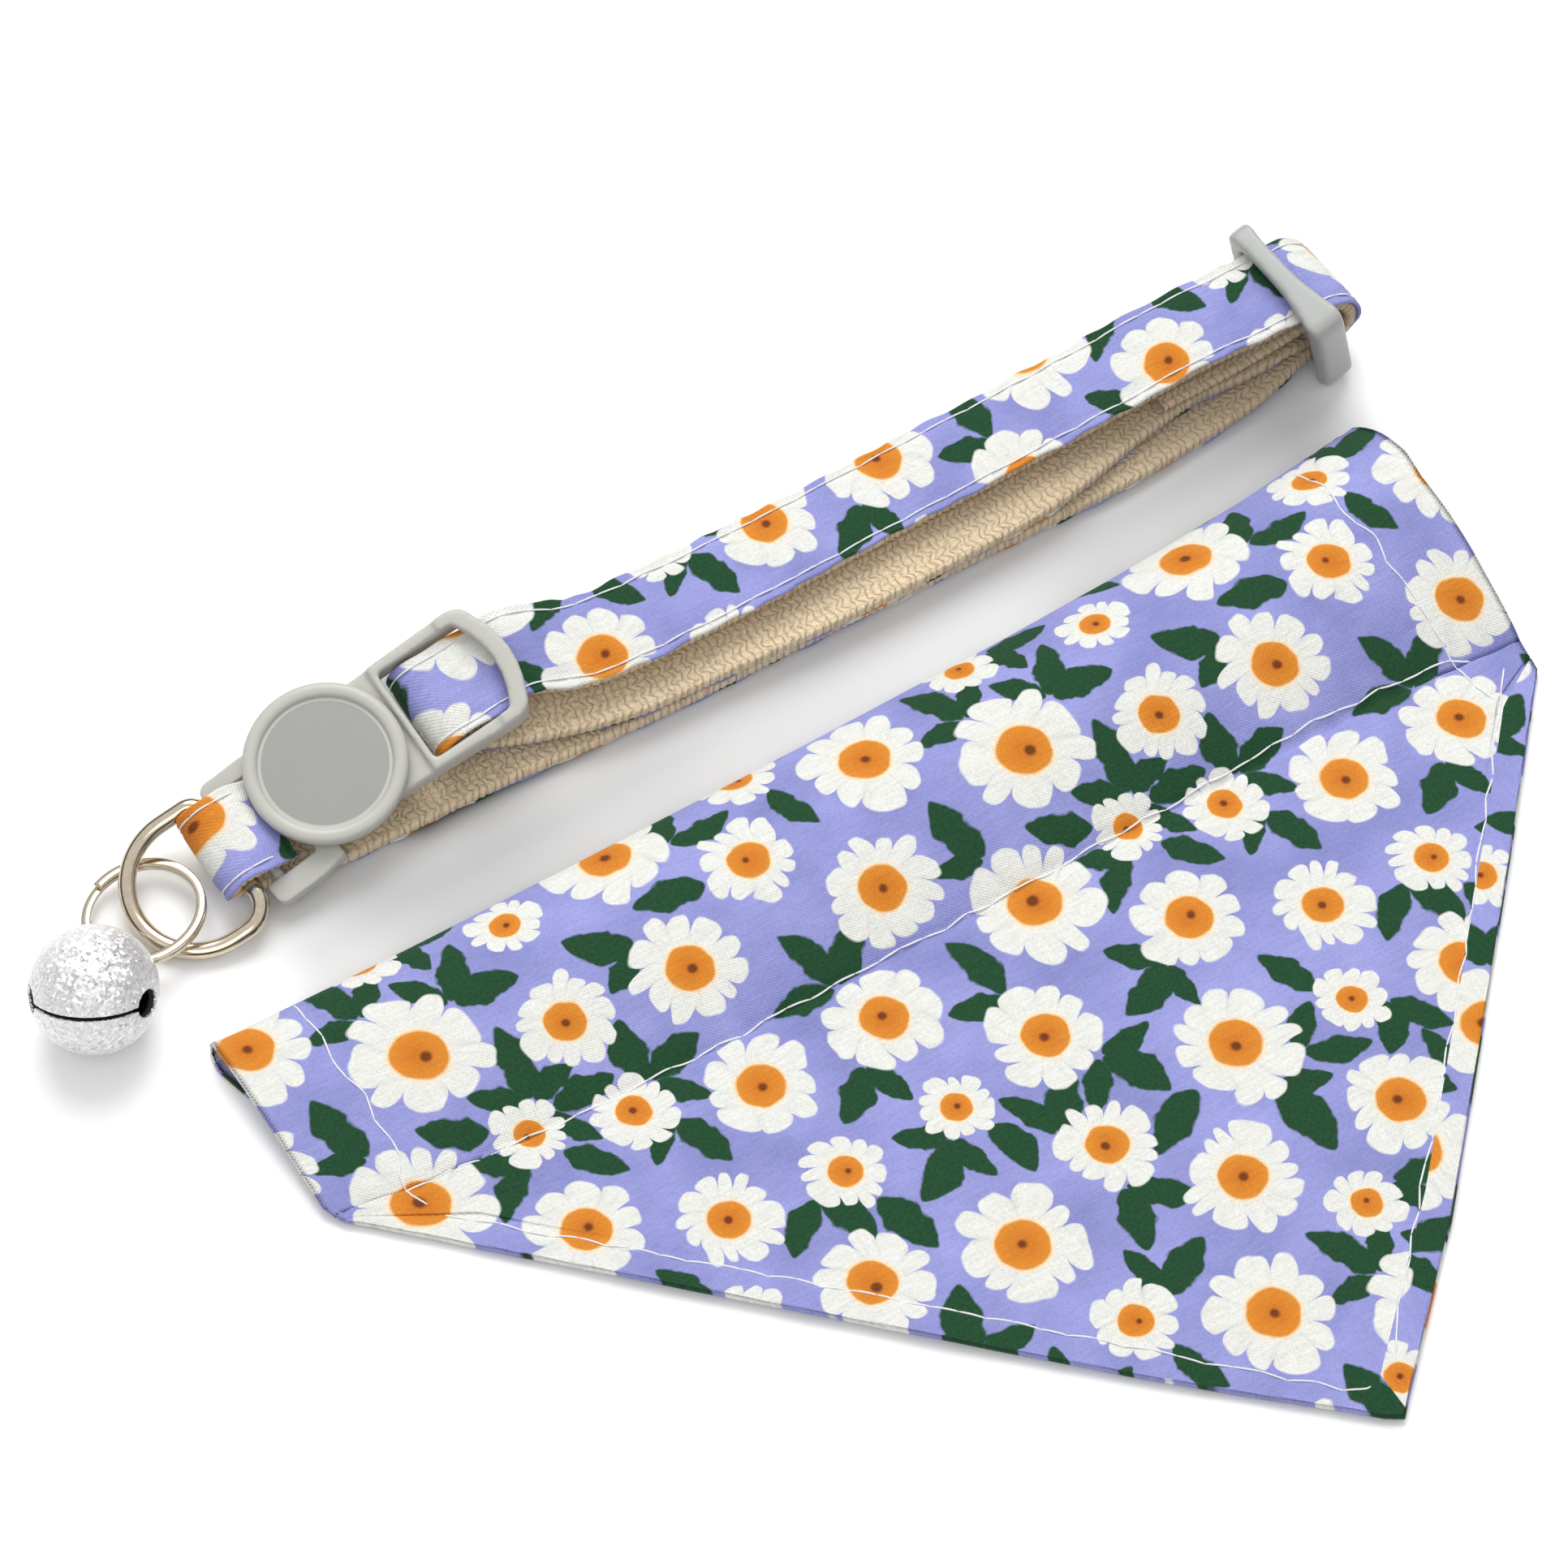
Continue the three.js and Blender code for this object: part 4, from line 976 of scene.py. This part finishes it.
SEAM_RIPPLE, SEAM_SINK = 0.16, 0.22  # how the cloth waves beside the stitches and sinks at them


def bandana_sections():
    """The cloth's middle surface: points (columns, rows, 3), thickness, and row marks."""
    x = np.linspace(BANDANA[0, 0], BANDANA[-1, 0], COLUMNS)
    for station in BANDANA[1:-1, 0]:
        x[np.argmin(np.abs(x - station))] = station
    fold, seam, hem, crown, peak, lift = sample(x, BANDANA[:, 0], BANDANA[:, 1:]).T
    lift *= SETTLED
    for values in (fold, seam, crown, peak, lift):
        padded = np.pad(values, SMOOTHED_OVER // 2, mode="edge")
        mean = np.convolve(padded, np.ones(SMOOTHED_OVER) / SMOOTHED_OVER, "valid")
        values[1:-1] = mean[1:-1]

    rows = []  # y, z and thickness, from the under layer's cut edge to the hem
    tuck = np.maximum(seam - UNDER_PAST_SEAM, hem + 0.4)
    for k in np.linspace(0, 1, UNDER_ROWS):
        rows.append((tuck + (fold - 1.0 - tuck) * k, UNDER_Z, CLOTH))
    for back, z in FOLD_TURN:
        rows.append((fold - back, z, CLOTH))
    power = np.log(0.5) / np.log(peak)
    for k in np.linspace(0, 1, TOP_ROWS):
        arch = np.sin(math.pi * k ** power) ** 0.9
        base = TOP_Z + (SEAM_TOP - 0.3 - TOP_Z) * k
        z = base + (crown - SEAM_TOP - 0.62) * arch
        rows.append((fold - 0.65 + (seam - fold + 0.65) * k, z, CLOTH))
    seam_row = len(rows) - 1
    drop = seam - hem
    hem_share = np.minimum(HEM_DROPS[0], 0.5 * drop) / HEM_DROPS[0]

    def down(y):
        return np.clip((seam - y) / drop, 0, 1)

    def under(y):
        return 0.25 + (lift - 0.25) * down(y) ** 1.5

    for k in np.linspace(0, 1, PANEL_ROWS)[1:-1]:
        y = seam + (hem + HEM_DROPS[0] * hem_share - seam) * k
        rows.append((y, under(y) + (0.7 + (HEM["rest"] - 0.7) * down(y)), CLOTH))
    hem_row = len(rows)
    for d in HEM_DROPS:
        y = hem + d * hem_share
        step = np.clip((4.75 - d) / 0.65, 0, 1)
        rows.append((y, under(y) + HEM["rest"], CLOTH + (HEM["thick"] - CLOTH) * step))
    grid = np.array([[np.broadcast_to(part, x.shape) for part in (x, *row)] for row in rows])
    grid = grid.transpose(2, 0, 1)
    return grid[..., :3].copy(), grid[..., 3], seam_row, hem_row


def wrinkles(x, y, grain_x, grain_y, depth):
    """Smooth noise from -1 to 1 on a grid of points."""
    return np.array([
        [noise.noise((a / grain_x, b / grain_y, depth)) for a, b in zip(*row)] for row in zip(x, y)
    ])


def soften(points, seam_row):
    """Slack, ripples along the stitching and small wrinkles."""
    x, y, z = points[..., 0], points[..., 1], points[..., 2]
    row = np.arange(points.shape[1])[None, :]
    top = row > UNDER_ROWS + 4
    slack = sum(height * wrinkles(x, y, *grain) for height, *grain in WRINKLES)
    z += np.where(top, slack, 0)
    from_seam = np.abs(row - seam_row) * 0.75
    pull = np.exp(-((from_seam / 3.2) ** 2))
    z += np.where(top, pull * SEAM_RIPPLE * np.sin(x * 1.35 + 1.5 * np.sin(x / 7.0)), 0)
    z -= np.where(top, SEAM_SINK * np.exp(-((from_seam / 0.9) ** 2)), 0)
    # the mouths' cut edges wander, and the under layer lies back from them
    left, right = x - BANDANA[0, 0], BANDANA[-1, 0] - x
    for away, *edges in ((left, LEFT_MOUTH, LEFT_UNDER), (right, RIGHT_MOUTH, RIGHT_UNDER)):
        near = np.exp(-((away / 5.0) ** 2))
        x += near * np.where(top, *(np.interp(y, edge[:, 0], edge[:, 1]) for edge in edges))


def shell(points, thick):
    """Cloth of this thickness over a grid of points, with a rounded rim.

    Returns its points, its quads (outside, inside, round the rim) and the rim's grid points.
    """
    columns, count = thick.shape
    size = thick.size
    normal = unit(np.cross(np.gradient(points, axis=1), np.gradient(points, axis=0)), TINY)
    flat, normals, half = points.reshape(-1, 3), normal.reshape(-1, 3), thick.reshape(-1, 1) / 2
    at = np.arange(size).reshape(columns, count)
    ring = np.concatenate([at[:, 0], at[-1, 1:], at[-2::-1, -1], at[0, -2:0:-1]])
    i, j = np.divmod(ring, count)
    away = flat[ring] - flat[at[np.clip(i, 1, columns - 2), np.clip(j, 1, count - 2)]]
    away = unit(away - (away * normals[ring]).sum(1)[:, None] * normals[ring], TINY)
    rims = []
    for angle in np.radians([45, 90, 135]):
        over, beside = normals[ring] * half[ring], away * half[ring] * 0.8
        rims.append(flat[ring] + over * math.cos(angle) + beside * math.sin(angle))
    verts = np.vstack([flat + normals * half, flat - normals * half] + rims)
    verts[:, 2] = np.maximum(verts[:, 2], LOWEST)
    loops = np.concatenate([ring, np.arange(2 * size, len(verts)), ring + size])
    round_rim = loops[grid_faces(len(rims) + 2, len(ring), wrap=True)]
    inside = grid_faces(columns, count)
    return verts, (inside[:, ::-1], inside + size, round_rim), ring


SEAMS = {  # x, y of the stitched lines
    "channel": [
        (7.5, -27.1), (28, -29), (47, -30), (88.7, -31), (110.5, -31.1),
        (121.4, -30.9), (132.7, -31.5), (141.8, -32.4), (145.2, -33.9),
    ],
    "left mouth": [
        (8.9, -0.6), (9.2, -6.9), (9, -11), (9.6, -15), (9.3, -19.4), (9.4, -23.6),
        (8.3, -25.4), (8.2, -27.6), (9.4, -31),
    ],
    "right mouth": [
        (140.5, -3), (141.4, -7.8), (141, -12.5), (141.9, -16.4), (141.5, -20.7),
        (142.2, -27.8), (141.8, -32.3), (142.6, -35.6), (143.1, -40.6),
    ],
    "left leg": [
        (9.8, -31.4), (44, -65), (TIP_X - 4, -99.4), (TIP_X - 1.6, -101),
        (TIP_X + 1.2, -101.2),
    ],
    "right leg": [
        (146.9, -36), (144.5, -38.7), (137, -46.9), (118.7, -66.1), (96.9, -87.6),
        (87.2, -97.3), (TIP_X + 1.3, -101.6),
    ],
}


def bandana():
    points, thick, seam_row, hem_row = bandana_sections()
    soften(points, seam_row)
    x = points[..., 0]
    steps = np.linalg.norm(np.diff(points, axis=1), axis=2)
    v = np.hstack([np.zeros((COLUMNS, 1)), np.cumsum(steps, axis=1)])
    v = v[:, seam_row][:, None] - v

    rim = np.clip(1.6 - np.minimum(x, BANDANA[-1, 0] - x), 0, 1)
    thick = np.maximum(thick, CLOTH + 0.1 * rim)
    verts, sides, ring = shell(points, thick)
    outside, faces = sides[0], np.vstack(sides)

    uv = np.stack([x.ravel(), v.ravel()], axis=1)
    corners = np.vstack([uv, uv] + [uv[ring]] * 3)[faces] + BANDANA_PRINT
    # the right leg's turned strip shows another part of the cloth
    column, row = np.divmod(np.arange(len(outside)), points.shape[1] - 1)
    strip = np.flatnonzero((row >= hem_row + 3) & (points[column, 0, 0] > TIP_X))
    corners[strip] = corners[strip][..., ::-1] + HEM_PRINT

    kind = np.repeat([0, 1, 0], [len(side) for side in sides])
    piece = add_piece("bandana_cloth", verts, faces, ["print", "back"], ("bandana",), kind)
    print_on(piece.data, corners)

    tree = BVHTree.FromPolygons([Vector(p) for p in verts], outside.tolist())

    def on_cloth(line):
        line = np.array(line)
        reach = reach_along(line)
        found = []
        for x, y in sample(np.arange(0, reach[-1], 0.5), reach, line):
            hit, normal, _, _ = tree.ray_cast(Vector((x, y, 60)), Vector((0, 0, -1)))
            if hit is not None:
                found.append((hit, normal if normal.z > 0 else -normal))
        return [np.array(part) for part in zip(*found)]

    add_stitches("bandana_stitches", [(*on_cloth(line), 0.26) for line in SEAMS.values()])


# ---- hard parts

# the disc's foot rounding, its rolled rim's half width and height, and its sides
DISC = dict(edge=0.5, rim=0.85, rise=0.55, sides=128)
WIRE_SIDES, SPLIT_STEPS = 20, 230  # round the D ring's wire, and along the split ring's
MOULD_VOXEL, BELL_VOXEL = 0.18, 0.16  # of the moulded pieces' and the bell's rounding
BELL_WALL = (0.22, 0.1)  # below and over the bell's radius, what the remesh left of its skin


def disc():
    """The buckle's round badge, blank, with a raised rolled rim."""
    r, top = BUCKLE["disc_radius"], BUCKLE["disc_top"]
    bottom = top - BUCKLE["disc_thick"]
    edge, rim, rise, sides = DISC.values()
    foot, middle = r - edge, r - rim
    profile = arc(foot, bottom + edge, [-90, -60, -30, 0], edge)
    profile += arc(middle, top - rise, np.arange(0, 181, 15), rim, rise)
    profile += [(middle - rim - 0.12, top - rise - 0.01), (middle - rim - 0.4, top - rise)]
    angle = np.linspace(0, math.tau, sides, endpoint=False)
    grid = [(x * c, x * s, z) for x, z in profile for c, s in zip(np.cos(angle), np.sin(angle))]
    faces = list(grid_faces(len(profile), sides, wrap=True)[:, ::-1])
    # the top's middle fan takes the badge plastic, darker as painted shade
    kind = [0] * len(faces) + [0, 1] * sides
    centre_low, centre_top = len(grid), len(grid) + 1
    last = (len(profile) - 1) * sides
    for k in range(sides):
        n = (k + 1) % sides
        faces += [(centre_low, n, k), (centre_top, last + k, last + n)]
    grid += [(0, 0, bottom), (0, 0, top - 0.5)]
    points = buckle.points(grid)
    add_piece("disc", points, faces, ["plastic", "badge"], ("buckle_disc",), kind)


def d_ring_wire():
    half, flank, corner, near = (D_RING[key] for key in ("half", "flank", "corner", "near_corner"))
    line = [(0, y) for y in np.linspace(near - half + 0.3, half - corner - 0.3, 12)]
    line += arc(-corner, half - corner, np.linspace(0, 90, 11), corner)
    line += arc(-flank, 0, np.linspace(90, 270, 61), half)
    line += arc(-near, near - half, np.linspace(270, 360, 15), near)
    line = d_ring.points([(x, y, 0) for x, y in line])
    along = unit(np.roll(line, -1, 0) - np.roll(line, 1, 0))
    across = unit(np.cross(d_ring.turn[:, 2], along))
    ring = D_RING["wire"] * round_ring(across, np.cross(along, across), WIRE_SIDES)
    points = (line[:, None] + ring).reshape(-1, 3)
    faces = grid_faces(len(line) + 1, WIRE_SIDES, wrap=True) % len(points)
    add_piece("d_ring_wire", points, faces, ["nickel"], ("d_ring",))


def split_ring_wire():
    turns, soft = SPLIT_RING["turns"], SPLIT_RING["soft"]
    t = np.linspace(0, 1, SPLIT_STEPS)[:, None]
    angle = t * turns * math.tau + math.radians(SPLIT_RING["start"])
    rise = SPLIT_RING["pitch"] * (t * turns - turns / 2)
    wide, high = SPLIT_RING["wide"] / 2 - soft, SPLIT_RING["thick"] / 2 - soft
    section = []
    for x, y, start in ((1, 1, 0), (-1, 1, 90), (-1, -1, 180), (1, -1, 270)):
        section += arc(x * wide, y * high, start + np.arange(0, 91, 30), soft)
    section = np.array(section)
    reach = SPLIT_RING["radius"] + section[:, 0]
    grid = np.stack([reach * np.cos(angle), reach * np.sin(angle), rise + section[:, 1]], axis=-1)
    points, sides = split_ring.points(grid.reshape(-1, 3)), len(section)
    last = np.arange(len(points) - sides, len(points))
    faces = [*grid_faces(SPLIT_STEPS, sides, wrap=True), np.arange(sides), last[::-1]]
    add_piece("split_ring_wire", points, faces, ["nickel"], ("split_ring",))


def bell():
    """The bell's skin is a true ball again, and its inside is dark: painted shade, with some
    tarnish.
    """
    mesh = rounded_copy("bell_shell", "bell", BELL_VOXEL, 2, "silver").data
    centre, radius = place(BELL["place"]), BELL["radius"] / 1000
    points, middle = np.empty(len(mesh.vertices) * 3), np.empty(len(mesh.polygons) * 3)
    mesh.vertices.foreach_get("co", points)
    away = points.reshape(-1, 3) - centre
    reach = np.linalg.norm(away, axis=1)
    below, over = BELL_WALL
    skin = (reach > radius - below / 1000) & (reach < radius + over / 1000)
    points.reshape(-1, 3)[skin] = centre + away[skin] / reach[skin][:, None] * radius
    mesh.vertices.foreach_set("co", points)
    mesh.update()
    # faces under the skin take the dark inside: painted shade with some tarnish
    mesh.materials.append(MATERIALS["inside"])
    mesh.polygons.foreach_get("center", middle)
    depth = radius - np.linalg.norm(middle.reshape(-1, 3) - centre, axis=1)
    mesh.polygons.foreach_set("material_index", (depth > BELL["skin"] / 1000).astype(np.int32))


# ---- everything

camera_and_light()
floor()
strap()
bandana()
disc()
rounded_copy("window_half", "buckle_window_half", MOULD_VOXEL, 38, "plastic")
rounded_copy("tail_half", "buckle_tail_half", MOULD_VOXEL, 10, "plastic")
rounded_copy("slider_plate", "slider", MOULD_VOXEL, 66, "slider")
d_ring_wire()
split_ring_wire()
bell()
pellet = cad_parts["bell_pellet"]
pellet.data.materials.clear()
pellet.data.materials.append(MATERIALS["silver"])
